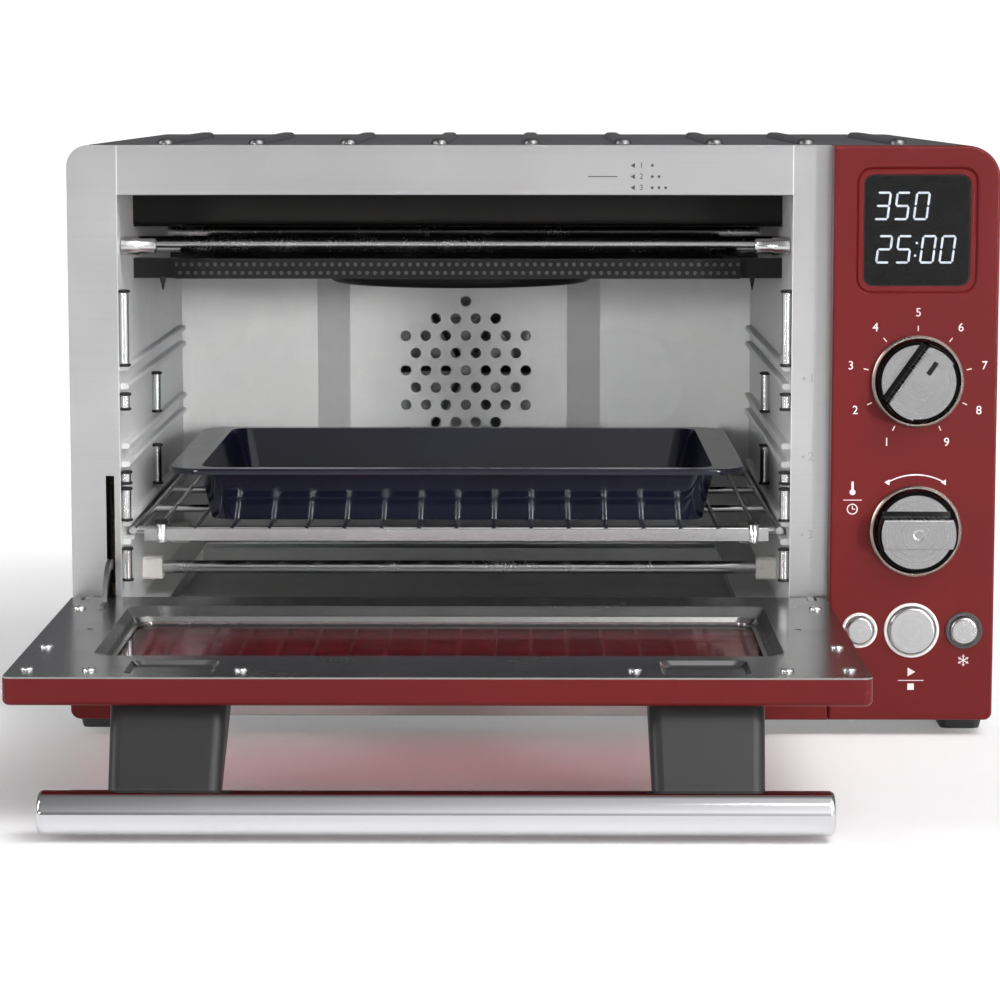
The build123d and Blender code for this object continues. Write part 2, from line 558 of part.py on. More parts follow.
with BuildPart() as cord_gland:
    rod((GLAND_X, BACK_Y - 6, GLAND_Z), (GLAND_X, BACK_Y + 8, GLAND_Z), GLAND_R)
    for y in ((BACK_Y - 3, BACK_Y - SHEET), (BACK_Y, BACK_Y + 2)):
        rod((GLAND_X, y[0], GLAND_Z), (GLAND_X, y[1], GLAND_Z), GLAND_R + 3)
    rod((GLAND_X, BACK_Y - 7, GLAND_Z), (GLAND_X, BACK_Y + 9, GLAND_Z), 4.2, Mode.SUBTRACT)
save(cord_gland, "cord_gland")

with BuildPart() as door_switch:
    block((135, 146), (deep(10), deep(30)), (240, 262))
    rod((140, deep(4), 251), (140, deep(10), 251), 1.5)
    block((146, 148), (deep(14), deep(26)), (244, 258))
save(door_switch, "door_switch")

# ================= convection fan =================

HOUSING_BACK = CAVITY_BACK_Y + 20.0
MOTOR_R = 30.0
with BuildPart() as fan_housing:
    block((FAN_X - 62, FAN_X + 62), (CAVITY_BACK_Y + LINER_SHEET, HOUSING_BACK), (FAN_Z - 62, FAN_Z + 62))
    block((FAN_X - 61, FAN_X + 61), (CAVITY_BACK_Y, HOUSING_BACK - 1), (FAN_Z - 61, FAN_Z + 61),
          Mode.SUBTRACT)
    rod((FAN_X, CAVITY_BACK_Y, FAN_Z), (FAN_X, HOUSING_BACK + 1, FAN_Z), 5, Mode.SUBTRACT)
save(fan_housing, "fan_housing")

with BuildPart() as fan_motor:
    rod((FAN_X, HOUSING_BACK, FAN_Z), (FAN_X, HOUSING_BACK + 34, FAN_Z), MOTOR_R)
    fillet(fan_motor.edges().filter_by(GeomType.CIRCLE), 3)
    for x in (FAN_X - 42, FAN_X + 32):
        block((x, x + 10), (HOUSING_BACK, HOUSING_BACK + 3), (FAN_Z - 6, FAN_Z + 6))
        block(sorted((FAN_X + (-28 if x < FAN_X else 28), x + (10 if x < FAN_X else 0))),
              (HOUSING_BACK, HOUSING_BACK + 3), (FAN_Z - 6, FAN_Z + 6))
    rod((FAN_X, HOUSING_BACK - 1, FAN_Z), (FAN_X, HOUSING_BACK + 20, FAN_Z), PIN_R + RUNNING_GAP,
        Mode.SUBTRACT)
save(fan_motor, "fan_motor")

FAN_R, BLADES = 46.0, 6
with BuildPart() as fan:
    rod((FAN_X, CAVITY_BACK_Y + 3, FAN_Z), (FAN_X, HOUSING_BACK + 18, FAN_Z), PIN_R)
    rod((FAN_X, CAVITY_BACK_Y + 4, FAN_Z), (FAN_X, CAVITY_BACK_Y + 14, FAN_Z), 9)
    with BuildSketch(facing_user(CAVITY_BACK_Y + 12)):
        with Locations((FAN_X, FAN_Z)):
            Circle(30)
    extrude(amount=1)
    for number in range(BLADES):
        angle = 360 / BLADES * number
        spoke = Plane(origin=(FAN_X, CAVITY_BACK_Y + 8, FAN_Z),
                      z_dir=(cos(radians(angle)), 0, sin(radians(angle))),
                      x_dir=(0, 1, 0))
        with BuildSketch(spoke.offset(7)):
            Rectangle(10, 1.2, rotation=24)
        extrude(amount=FAN_R - 7)
save(fan, "fan")

# ================= door =================

HINGE_POCKET = 5.0
BOSS = 6.8                  # half the width of the block that holds each hinge pin
BOSS_Y = (HINGE_Y - 7, DOOR_NEAR_Y - DOOR_SHEET)
PANEL_UNDER = DOOR_TOP - LINER_SHEET
SHELL_FLOOR = DOOR_UNDER + DOOR_SHEET


def mirrored(x):
    """The same place on the other side of the door."""
    return 2 * DOOR_X - x


with BuildPart() as door_shell:
    block((DOOR_LEFT, DOOR_RIGHT), (DOOR_FREE_Y, DOOR_NEAR_Y), (DOOR_UNDER, PANEL_UNDER))
    fillet(door_shell.edges().filter_by(Axis.Z), 4)
    fillet(door_shell.faces().sort_by(Axis.Z)[0].edges(), 2.5)
    block(wider((DOOR_LEFT, DOOR_RIGHT), -DOOR_SHEET), wider((DOOR_FREE_Y, DOOR_NEAR_Y), -DOOR_SHEET),
          (SHELL_FLOOR, DOOR_TOP), Mode.SUBTRACT)
    for x in LUG_XS:
        block((x - BOSS, x + BOSS), BOSS_Y, (SHELL_FLOOR, PANEL_UNDER))
        block((x - HINGE_POCKET / 2, x + HINGE_POCKET / 2), (HINGE_Y - 7.5, DOOR_NEAR_Y + 1),
              (SHELL_FLOOR + 0.6, DOOR_TOP), Mode.SUBTRACT)
        rod((x - BOSS + 0.4, HINGE_Y, HINGE_Z), (x + BOSS - 0.4, HINGE_Y, HINGE_Z), PIN_R + RUNNING_GAP,
            Mode.SUBTRACT)
    block(wider(WINDOW_X, -14), (WINDOW_Y[0] + 18, WINDOW_Y[1] - 26), (DOOR_UNDER - 1, SHELL_FLOOR + 1),
          Mode.SUBTRACT)
    fillet(door_shell.edges().filter_by(Axis.Z).filter_by(
        lambda edge: abs(edge.center().Y - sum(WINDOW_Y) / 2) < 70 and abs(edge.center().X - DOOR_X) < 160), 6)
save(door_shell, "door_shell")

RECESS_FLOOR = DOOR_TOP - 5.6
RECESS_LIP = DOOR_TOP - 2.6     # where the gentle slope around the window turns down to the glass
LIP_X, LIP_Y = wider(WINDOW_X, -4.5), (WINDOW_Y[0] + 10.0, WINDOW_Y[1] - 18.0)
FLOOR_X, FLOOR_Y = wider(LIP_X, -1.5), wider(LIP_Y, -1.5)
MOUNT_RECESSES = [(x, (FRAME_Y - 231.0, FRAME_Y - 194.0)) for x in BRACKET_XS]
with BuildPart() as door_inner_panel:
    block(wider((DOOR_LEFT, DOOR_RIGHT), -0.2), wider((DOOR_FREE_Y, DOOR_NEAR_Y), -0.2),
          (PANEL_UNDER, DOOR_TOP))
    fillet(door_inner_panel.edges().filter_by(Axis.Z), 4)
    tapered([(DOOR_TOP, wider(WINDOW_X, LINER_SHEET), wider(WINDOW_Y, LINER_SHEET)),
             (RECESS_LIP - LINER_SHEET, wider(LIP_X, LINER_SHEET), wider(LIP_Y, LINER_SHEET))], 9)
    tapered([(RECESS_LIP, wider(LIP_X, LINER_SHEET), wider(LIP_Y, LINER_SHEET)),
             (RECESS_FLOOR, wider(FLOOR_X, LINER_SHEET), wider(FLOOR_Y, LINER_SHEET))], 9)
    tapered([(DOOR_TOP, WINDOW_X, WINDOW_Y), (RECESS_LIP, LIP_X, LIP_Y)], 9, Mode.SUBTRACT)
    tapered([(RECESS_LIP, LIP_X, LIP_Y), (RECESS_FLOOR + LINER_SHEET, FLOOR_X, FLOOR_Y)], 9, Mode.SUBTRACT)
    tapered([(RECESS_FLOOR - 1, wider(FLOOR_X, -2), wider(FLOOR_Y, -2)),
             (RECESS_LIP, wider(FLOOR_X, -2), wider(FLOOR_Y, -2))], 8, Mode.SUBTRACT)
    for x, y in MOUNT_RECESSES:
        span = (x - 20, x + 20)
        tapered([(DOOR_TOP, wider(span, LINER_SHEET), wider(y, LINER_SHEET)),
                 (DOOR_TOP - 2.6, wider(span, LINER_SHEET - 2), wider(y, LINER_SHEET - 2))], 5)
        tapered([(DOOR_TOP, span, y), (DOOR_TOP - 1.8, wider(span, -2), wider(y, -2))], 5, Mode.SUBTRACT)
    for x in LUG_XS:
        block((x - HINGE_POCKET / 2, x + HINGE_POCKET / 2), (HINGE_Y - 7.5, DOOR_NEAR_Y + 1),
              (PANEL_UNDER - 1, DOOR_TOP + 1), Mode.SUBTRACT)
    plate_holes(Plane.XY.offset(DOOR_TOP), [(-212.5, deep(-106)), (mirrored(-212.5), deep(-106))], 1,
                radius=1.6)
save(door_inner_panel, "door_inner_panel")

with BuildPart() as door_glass_inner:
    block(wider(FLOOR_X, 1), wider(FLOOR_Y, 1), (RECESS_FLOOR - GLASS, RECESS_FLOOR))
    fillet(door_glass_inner.edges().filter_by(Axis.Z), 4)
save(door_glass_inner, "door_glass_inner")

with BuildPart() as door_glass_outer:
    block(wider(FLOOR_X, 2), wider(FLOOR_Y, 2), (SHELL_FLOOR, SHELL_FLOOR + GLASS))
    fillet(door_glass_outer.edges().filter_by(Axis.Z), 4)
save(door_glass_outer, "door_glass_outer")

SCREW_HEAD_R, SCREW_HEAD = 3.2, 1.4
door_screw_places = [(x, deep(-d)) for x in (-226.0, mirrored(-226.0)) for d in (42, 159, 220)]
door_screw_places += [(x, deep(-222)) for x in (-198.0, -130.0, mirrored(-130.0), mirrored(-198.0))]
with BuildPart() as door_screws:
    for x, y in door_screw_places:
        rod((x, y, DOOR_TOP), (x, y, DOOR_TOP + SCREW_HEAD), SCREW_HEAD_R)
    fillet(door_screws.edges().filter_by(GeomType.CIRCLE).group_by(Axis.Z)[-1], 1.1)
save(door_screws, "door_screws")

ARM_R = (19.6, 24.2)
ARM_WIDTH = 2.2
ARM_END = 150.0
with BuildPart() as hinge_arm:
    with BuildSketch(Plane(origin=(ARM_X - ARM_WIDTH / 2, HINGE_Y, HINGE_Z), x_dir=(0, -1, 0), z_dir=(1, 0, 0))):
        with BuildLine():
            outer = CenterArc((0, 0), ARM_R[1], 0, -ARM_END)
            inner_arc = CenterArc((0, 0), ARM_R[0], 0, -ARM_END)
            Line(outer @ 0, inner_arc @ 0)
            Line(outer @ 1, inner_arc @ 1)
        make_face()
    extrude(amount=ARM_WIDTH)
    block((ARM_X - ARM_WIDTH / 2, ARM_X + ARM_WIDTH / 2), (HINGE_Y - 36, HINGE_Y - 19.8),
          (DOOR_TOP, DOOR_TOP + 1.4))
    block((ARM_X - 5, ARM_X + 5), (HINGE_Y - 60, HINGE_Y + 3.9), (HINGE_Z - 1, DOOR_TOP), Mode.SUBTRACT)
save(hinge_arm, "hinge_arm")

PIN_REACH = 6.0
with BuildPart() as hinge_brackets:
    for x in LUG_XS:
        block((x - LUG_WIDTH / 2, x + LUG_WIDTH / 2), (HINGE_Y, deep(12)), LUG_Z)
        rod((x - LUG_WIDTH / 2, HINGE_Y, HINGE_Z), (x + LUG_WIDTH / 2, HINGE_Y, HINGE_Z), 4)
        rod((x - PIN_REACH, HINGE_Y, HINGE_Z), (x + PIN_REACH, HINGE_Y, HINGE_Z), PIN_R)
        block((x - LUG_WIDTH / 2, x + LUG_WIDTH / 2), (deep(SHEET), deep(12)), (HINGE_Z - 20, HINGE_Z + 16))
        block((x - 5, x + 5), (deep(SHEET), deep(2.5)), (HINGE_Z - 20, HINGE_Z - 6))
save(hinge_brackets, "hinge_brackets")

with BuildPart() as handle_bar:
    rod((DOOR_X - BAR_LENGTH / 2, BAR_Y, BAR_Z), (DOOR_X + BAR_LENGTH / 2, BAR_Y, BAR_Z), BAR_R)
    fillet(handle_bar.edges().filter_by(GeomType.CIRCLE), 2.5)
save(handle_bar, "handle_bar")

with BuildPart() as handle_brackets:
    for x in BRACKET_XS:
        base_y, tip_y = (FRAME_Y - 231.0, FRAME_Y - 192.0), (BAR_Y - 2.5, BAR_Y + 11)
        base_x = (x - BRACKET_WIDTH / 2, x + BRACKET_WIDTH / 2)
        tapered([(DOOR_UNDER, base_x, base_y), (BAR_Z + 2, wider(base_x, -1.2), tip_y)], 5.5)
        tapered([(DOOR_UNDER, wider(base_x, -BRACKET_WALL), wider(base_y, -BRACKET_WALL)),
                 (BAR_Z + 20, wider(base_x, -1.2 - BRACKET_WALL), (base_y[0] - 11.5, base_y[1] - 34))], 2.5,
                Mode.SUBTRACT)
        rod((x - 40, BAR_Y, BAR_Z), (x + 40, BAR_Y, BAR_Z), BAR_R, Mode.SUBTRACT)
save(handle_brackets, "handle_brackets")

# ================= rack, pan and crumb tray =================

RACK_X = (CAVITY_LEFT + 3.4, CAVITY_RIGHT - 3.4)
RACK_S = (22.0, 296.0)
CROSS_WIRE_R = 1.3
with BuildPart() as wire_rack:
    for x in RACK_X:
        rod((x, deep(RACK_S[0]), RACK_Z), (x, deep(RACK_S[1]), RACK_Z), RACK_WIRE_R)
    for distance in (RACK_S[0] + 8, 120, 205, RACK_S[1] - 3):
        rod((RACK_X[0], deep(distance), RACK_Z - 0.6), (RACK_X[1], deep(distance), RACK_Z - 0.6),
            RACK_WIRE_R)
    block(wider(RACK_X, -6), (deep(RACK_S[0] - 2), deep(RACK_S[0])), (RACK_Z - 5, RACK_Z + 1))
    wires = 17
    spacing = (RACK_X[1] - RACK_X[0] - 24) / (wires - 1)
    for number in range(wires):
        x = RACK_X[0] + 12 + spacing * number
        rod((x, deep(RACK_S[0] - 1), RACK_Z), (x, deep(RACK_S[1]), RACK_Z), CROSS_WIRE_R)
    for x in wider(RACK_X, -8):
        rod((x, deep(RACK_S[0] - 1), RACK_Z - 2), (x, deep(RACK_S[0] + 9), RACK_Z - 2), CROSS_WIRE_R)
save(wire_rack, "wire_rack")

PAN_X, PAN_Y = (-191.0, 113.0), (deep(40), deep(262))
PAN_WALL = 1.2
SIDE_RIM, END_RIM, RIM_THICK = 16.0, 7.0, 3.0
DRAFT = 6.0                 # how far each wall leans in towards the pan's base
with BuildPart() as roasting_pan:
    body_x, body_y = wider(PAN_X, -SIDE_RIM), wider(PAN_Y, -END_RIM)
    base_x, base_y = wider(body_x, -DRAFT), wider(body_y, -DRAFT)
    tapered([(PAN_BASE, base_x, base_y), (PAN_TOP, body_x, body_y)], 12)
    with BuildSketch(Plane.XY.offset(PAN_TOP - RIM_THICK)):
        with Locations((sum(PAN_X) / 2, sum(PAN_Y) / 2)):
            RectangleRounded(PAN_X[1] - PAN_X[0], PAN_Y[1] - PAN_Y[0], 20)
    extrude(amount=RIM_THICK)
    fillet(roasting_pan.edges().filter_by(Plane.XY).filter_by(
        lambda edge: edge.center().Z > PAN_TOP - RIM_THICK - 0.1
        and edge.bounding_box().size.Z < 0.1).group_by(Axis.Z)[-1], 1.2)
    tapered([(PAN_BASE + PAN_WALL, wider(base_x, -PAN_WALL), wider(base_y, -PAN_WALL)),
             (PAN_TOP + 0.4, wider(body_x, -PAN_WALL), wider(body_y, -PAN_WALL))], 11, Mode.SUBTRACT)
save(roasting_pan, "roasting_pan")

TRAY_FRONT_Z = (FOOT_HEIGHT + 2.0, 54.5)
TRAY_S = (-13.0, 306.0)
with BuildPart() as crumb_tray:
    block(TRAY_X, (deep(TRAY_S[0]), deep(TRAY_S[1])), (TRAY_FLOOR, TRAY_FLOOR + 9))
    block(wider(TRAY_X, -LINER_SHEET), (deep(TRAY_S[0] + 1), deep(TRAY_S[1] - LINER_SHEET)),
          (TRAY_FLOOR + LINER_SHEET, TRAY_FLOOR + 10), Mode.SUBTRACT)
    block(wider(TRAY_X, 1.6), (PANEL_Y, PANEL_Y + 1.5), TRAY_FRONT_Z)
    fillet(crumb_tray.faces().sort_by(Axis.Y)[0].edges(), 0.6)
save(crumb_tray, "crumb_tray")

# ================= knobs and buttons =================


def knob(z, turn):
    """A round knob with a raised grip across its face, turned by this many degrees."""
    rod((KNOB_X, KNOB_FACE, z), (KNOB_X, KNOB_BACK, z), KNOB_R)
    upright = Plane(origin=(KNOB_X, KNOB_FACE, z), x_dir=(cos(radians(turn)), 0, sin(radians(turn))),
                    z_dir=(0, -1, 0))
    with BuildSketch(upright) as grip:
        Circle(KNOB_R - 0.6)
        Rectangle(GRIP_WIDTH, 2 * KNOB_R, mode=Mode.INTERSECT)
    extrude(grip.sketch, amount=KNOB_FACE - GRIP_FACE)
    with BuildSketch(upright) as groove:
        with Locations((-GRIP_WIDTH / 2 - GROOVE / 2, 0)):
            Rectangle(GROOVE, 2 * KNOB_R + 2)
    extrude(groove.sketch, amount=-GROOVE, mode=Mode.SUBTRACT)
    fillet(edges().group_by(Axis.Y)[0], 0.8)


with BuildPart() as mode_knob:
    knob(MODE_Z, MODE_TURN)
    rod((KNOB_X, KNOB_BACK, MODE_Z), (KNOB_X, BOARD_Y - 2, MODE_Z), SHAFT_R)
save(mode_knob, "mode_knob")

with BuildPart() as select_knob:
    knob(SELECT_Z, -90)
    rod((KNOB_X, KNOB_FACE - 6, SELECT_Z), (KNOB_X, KNOB_BACK + 1, SELECT_Z), SHAFT_R + RUNNING_GAP,
        Mode.SUBTRACT)
save(select_knob, "select_knob")

PUSH_TRAVEL = 1.5
with BuildPart() as select_plunger:
    rod((KNOB_X, KNOB_FACE - 5.8, SELECT_Z), (KNOB_X, BOARD_Y - 1.2 - PUSH_TRAVEL, SELECT_Z), SHAFT_R)
save(select_plunger, "select_plunger")

BUTTON_PROUD = 3.0
BUTTON_TRAVEL = 1.2
for name, (x, radius) in BUTTONS.items():
    with BuildPart() as button:
        rod((x, PANEL_Y - BUTTON_PROUD, BUTTON_Z), (x, PANEL_Y + PANEL_WALL + 0.4, BUTTON_Z), radius)
        fillet(button.edges().group_by(Axis.Y)[0], 1.6)
        rod((x, PANEL_Y + PANEL_WALL + 0.4, BUTTON_Z), (x, PANEL_Y + PANEL_WALL + 1.4, BUTTON_Z),
            radius + 1.3)
        rod((x, PANEL_Y + PANEL_WALL + 1.4, BUTTON_Z), (x, SWITCH_TOP - BUTTON_TRAVEL - 0.3, BUTTON_Z), 3)
    save(button, name)

# ================= case screws =================

with BuildPart() as case_screws:
    for x in (-225, 0, 225):
        for z in (22, 290):
            rod((x, BACK_Y, z), (x, BACK_Y + 1.6, z), 3.4)
    fillet(case_screws.edges().filter_by(GeomType.CIRCLE).group_by(Axis.Y)[-1], 1.2)
save(case_screws, "case_screws")
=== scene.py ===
"""Finishes and small parts of a countertop toaster oven, built around its CAD frame.

Every length is in metres, in the same frame as the CAD: +X is the user's right, +Y runs from
the user to the oven's back, and +Z is up.
"""

from math import atan2, cos, pi, radians, sin

import bmesh
import bpy
from bpy.props import FloatProperty, FloatVectorProperty, IntProperty, PointerProperty
from bpy.types import Operator, Panel, PropertyGroup
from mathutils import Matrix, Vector


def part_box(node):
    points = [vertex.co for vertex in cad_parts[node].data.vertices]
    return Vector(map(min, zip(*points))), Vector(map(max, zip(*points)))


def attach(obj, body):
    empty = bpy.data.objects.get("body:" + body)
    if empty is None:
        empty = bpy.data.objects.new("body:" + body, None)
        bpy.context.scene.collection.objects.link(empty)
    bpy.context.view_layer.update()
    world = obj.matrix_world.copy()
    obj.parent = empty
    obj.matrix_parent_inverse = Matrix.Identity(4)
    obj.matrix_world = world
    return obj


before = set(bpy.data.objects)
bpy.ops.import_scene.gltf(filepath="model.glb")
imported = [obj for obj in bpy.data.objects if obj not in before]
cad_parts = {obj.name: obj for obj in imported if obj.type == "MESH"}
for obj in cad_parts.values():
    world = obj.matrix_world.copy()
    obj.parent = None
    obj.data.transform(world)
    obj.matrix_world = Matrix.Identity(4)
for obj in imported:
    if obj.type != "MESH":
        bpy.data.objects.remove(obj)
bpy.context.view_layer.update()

bl_info = {
    "name": "Countertop Oven Finish",
    "version": (1, 0, 0),
    "blender": (4, 5, 0),
    "location": "View3D > Sidebar > Oven",
    "description": "Adds the finishes, prints and small fittings of a countertop oven",
    "category": "Object",
}

MM = 0.001

# ---- places taken from the CAD frame ----
PANEL_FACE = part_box("control_panel")[0].y
RAIL_LOW, RAIL_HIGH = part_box("front_top_rail")
FRAME_FACE = RAIL_LOW.y
CAVITY_LEFT, CAVITY_RIGHT = RAIL_LOW.x, RAIL_HIGH.x


def middle(node):
    """The middle of a CAD node's box."""
    low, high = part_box(node)
    return (low + high) / 2


MODE_AT, SELECT_AT = middle("mode_knob"), middle("select_knob")
GRIP_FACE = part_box("mode_knob")[0].y


# ================= settings =================


def colour(name, description, value):
    """A colour setting."""
    return FloatVectorProperty(name=name, description=description, default=value, size=3, min=0, max=1,
                               subtype="COLOR")


def length(name, description, millimetres):
    """A length setting, given in millimetres and kept in metres."""
    return FloatProperty(name=name, description=description, default=millimetres * MM, min=0,
                         unit="LENGTH", precision=5)


class OvenColours(PropertyGroup):
    paint: colour("Paint", "Colour of the painted door and control panel", (0.098, 0.0048, 0.0048))
    steel: colour("Steel", "Colour of the brushed front frame", (0.50, 0.50, 0.497))
    lining: colour("Lining", "Colour of the oven's inside walls", (0.76, 0.76, 0.76))
    enamel: colour("Enamel", "Colour of the roasting pan's enamel", (0.004, 0.004, 0.010))
    bracket: colour("Bracket", "Colour of the handle brackets", (0.015, 0.0145, 0.0145))
    ring: colour("Ring", "Colour of the rings around the knobs", (0.30, 0.25, 0.22))
    print_ink: colour("Print", "Colour of the marks on the control panel", (0.72, 0.66, 0.63))
    digits: colour("Digits", "Colour of the lit display segments", (0.80, 0.84, 0.90))
    glass: colour("Glass", "Tint of the door's outer glass", (0.42, 0.008, 0.028))


class OvenSizes(PropertyGroup):
    collar: length("Collar radius", "Radius of the dark collars on the rack posts", 3.2)
    print_thickness: length("Print thickness", "How far a printed mark stands off its surface", 0.05)
    number_height: length("Number height", "Height of the numbers around the upper dial", 4.4)
    number_circle: length("Number circle", "Distance of the numbers from the upper knob's middle", 34.5)
    arc_radius: length("Arc radius", "Radius of the printed arc above the lower knob", 28.5)
    pointer: length("Pointer length", "Length of the dark pointer on the upper knob", 7.5)
    digit_height: length("Digit height", "Height of one display digit", 13.2)
    numbers: IntProperty(name="Numbers", description="How many numbers stand around the upper dial",
                         default=9, min=2, max=12)


class OvenStage(PropertyGroup):
    lens: FloatProperty(name="Lens", description="Focal length of the camera", default=121.4, min=20,
                        subtype="DISTANCE_CAMERA")
    place: FloatVectorProperty(name="Camera place", description="Where the camera stands",
                               default=(-0.003, -1.773, 0.3296), size=3, subtype="TRANSLATION", unit="LENGTH")
    tilt: FloatProperty(name="Tilt", description="How far the camera looks down", default=radians(7.0),
                        subtype="ANGLE")
    turn: FloatProperty(name="Turn", description="How far the camera turns to the left",
                        default=radians(0.43), subtype="ANGLE")
    floor: colour("Floor", "Colour of the floor", (0.86, 0.86, 0.86))
    glow: FloatProperty(name="Floor glow", description="How much the floor near the oven shines by itself",
                        default=0.10, min=0)
    key: FloatProperty(name="Key light", description="Strength of the large light above", default=38.0, min=0,
                       subtype="POWER", unit="POWER")
    fill: FloatProperty(name="Fill light", description="Strength of the light to the right of the camera",
                        default=0.46, min=0, subtype="POWER", unit="POWER")


class OvenSettings(PropertyGroup):
    colours: PointerProperty(type=OvenColours)
    sizes: PointerProperty(type=OvenSizes)
    stage: PointerProperty(type=OvenStage)


def settings():
    """The oven's settings in the current scene."""
    return bpy.context.scene.oven_settings


# ================= modelling helpers =================


def only(*pieces):
    """Selects just these objects, the last one active."""
    bpy.ops.object.select_all(action="DESELECT")
    for piece in pieces:
        piece.select_set(True)
    bpy.context.view_layer.objects.active = pieces[-1]


def fresh(add, name, **details):
    """Adds a primitive with nothing else selected, and names it."""
    scale = details.pop("scale", None)
    bpy.ops.object.select_all(action="DESELECT")
    add(**details)
    piece = bpy.context.object
    piece.name = name
    if scale:
        piece.scale = scale
    return piece


def pick(piece, kind, wanted):
    """Opens edit mode with only the vertices, edges or faces selected that pass a test."""
    only(piece)
    bpy.ops.object.mode_set(mode="EDIT")
    bpy.ops.mesh.select_mode(type=kind)
    bpy.ops.mesh.select_all(action="DESELECT")
    mesh = bmesh.from_edit_mesh(piece.data)
    mesh.normal_update()
    for part in {"VERT": mesh.verts, "EDGE": mesh.edges, "FACE": mesh.faces}[kind]:
        if wanted(part):
            part.select_set(True)
    mesh.select_mode = {kind}
    mesh.select_flush_mode()
    bmesh.update_edit_mesh(piece.data)


def done():
    """Leaves edit mode."""
    bpy.ops.object.mode_set(mode="OBJECT")


def everything(_part):
    """The test that every part of a mesh passes."""
    return True


def thicken(along):
    """In edit mode, draws the selected sheet out along Y into a solid, and leaves edit mode."""
    bpy.ops.mesh.extrude_region_move(TRANSFORM_OT_translate={"value": (0, along, 0)})
    bpy.ops.mesh.select_all(action="SELECT")
    bpy.ops.mesh.normals_make_consistent(inside=False)
    done()


def settle(piece):
    """Puts a piece's place, turn and size into its mesh."""
    only(piece)
    bpy.ops.object.transform_apply(location=True, rotation=True, scale=True)
    return piece


def copied(piece, move=(0, 0, 0)):
    """A copy with its own mesh, moved by this much."""
    only(piece)
    bpy.ops.object.duplicate(linked=False)
    twin = bpy.context.object
    bpy.ops.transform.translate(value=move)
    return settle(twin)


def joined(pieces, name):
    """Several pieces as one object of this name."""
    for piece in pieces:
        settle(piece)
    only(*pieces)
    if len(pieces) > 1:
        bpy.ops.object.join()
    piece = bpy.context.object
    piece.name = name
    return piece


def rounded(piece, width, segments=2, angle=40):
    """Bevels a piece's sharp edges with an applied modifier."""
    only(piece)
    bevel = piece.modifiers.new("rounding", "BEVEL")
    bevel.width, bevel.segments = width, segments
    bevel.limit_method, bevel.angle_limit = "ANGLE", radians(angle)
    bpy.ops.object.modifier_apply(modifier=bevel.name)
    return piece


def smooth(piece, angle=35):
    """Smooth shading with its sharp edges kept."""
    only(piece)
    bpy.ops.object.shade_smooth_by_angle(angle=radians(angle))
    return piece


def dressed(piece, body, material):
    """Gives a finished piece its material and the body it rides on."""
    settle(piece)
    piece.data.materials.clear()
    piece.data.materials.append(bpy.data.materials[material])
    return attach(piece, body)


def lathe(name, profile, at, axis="Z", steps=24):
    """A turned piece: a profile of (radius, distance along the axis) spun around that axis."""
    ring = fresh(bpy.ops.mesh.primitive_circle_add, name, vertices=steps, radius=profile[0][0],
                 fill_type="NOTHING", location=(0, 0, profile[0][1]))
    settle(ring)
    pick(ring, "VERT", everything)
    for (radius, height), (last_radius, last_height) in zip(profile[1:], profile):
        bpy.ops.mesh.extrude_region_move(TRANSFORM_OT_translate={"value": (0, 0, height - last_height)})
        scale = radius / last_radius
        bpy.ops.transform.resize(value=(scale, scale, 1), center_override=(0, 0, height))
    bpy.ops.mesh.select_all(action="SELECT")
    bpy.ops.mesh.remove_doubles(threshold=0.000001)
    bpy.ops.mesh.fill_holes(sides=steps)
    bpy.ops.mesh.normals_make_consistent(inside=False)
    done()
    ring.rotation_euler = {"X": (0, pi / 2, 0), "Y": (pi / 2, 0, 0), "Z": (0, 0, 0)}[axis]
    ring.location = at
    return settle(ring)


def bar(name, low, high, round_by=0.0, segments=2):
    """A rectangular bar between two corners, its edges rounded."""
    low, high = Vector(low), Vector(high)
    piece = fresh(bpy.ops.mesh.primitive_cube_add, name, size=1, location=(low + high) / 2, scale=high - low)
    settle(piece)
    if round_by:
        rounded(piece, round_by, segments)
    return piece


# ================= shader helpers =================


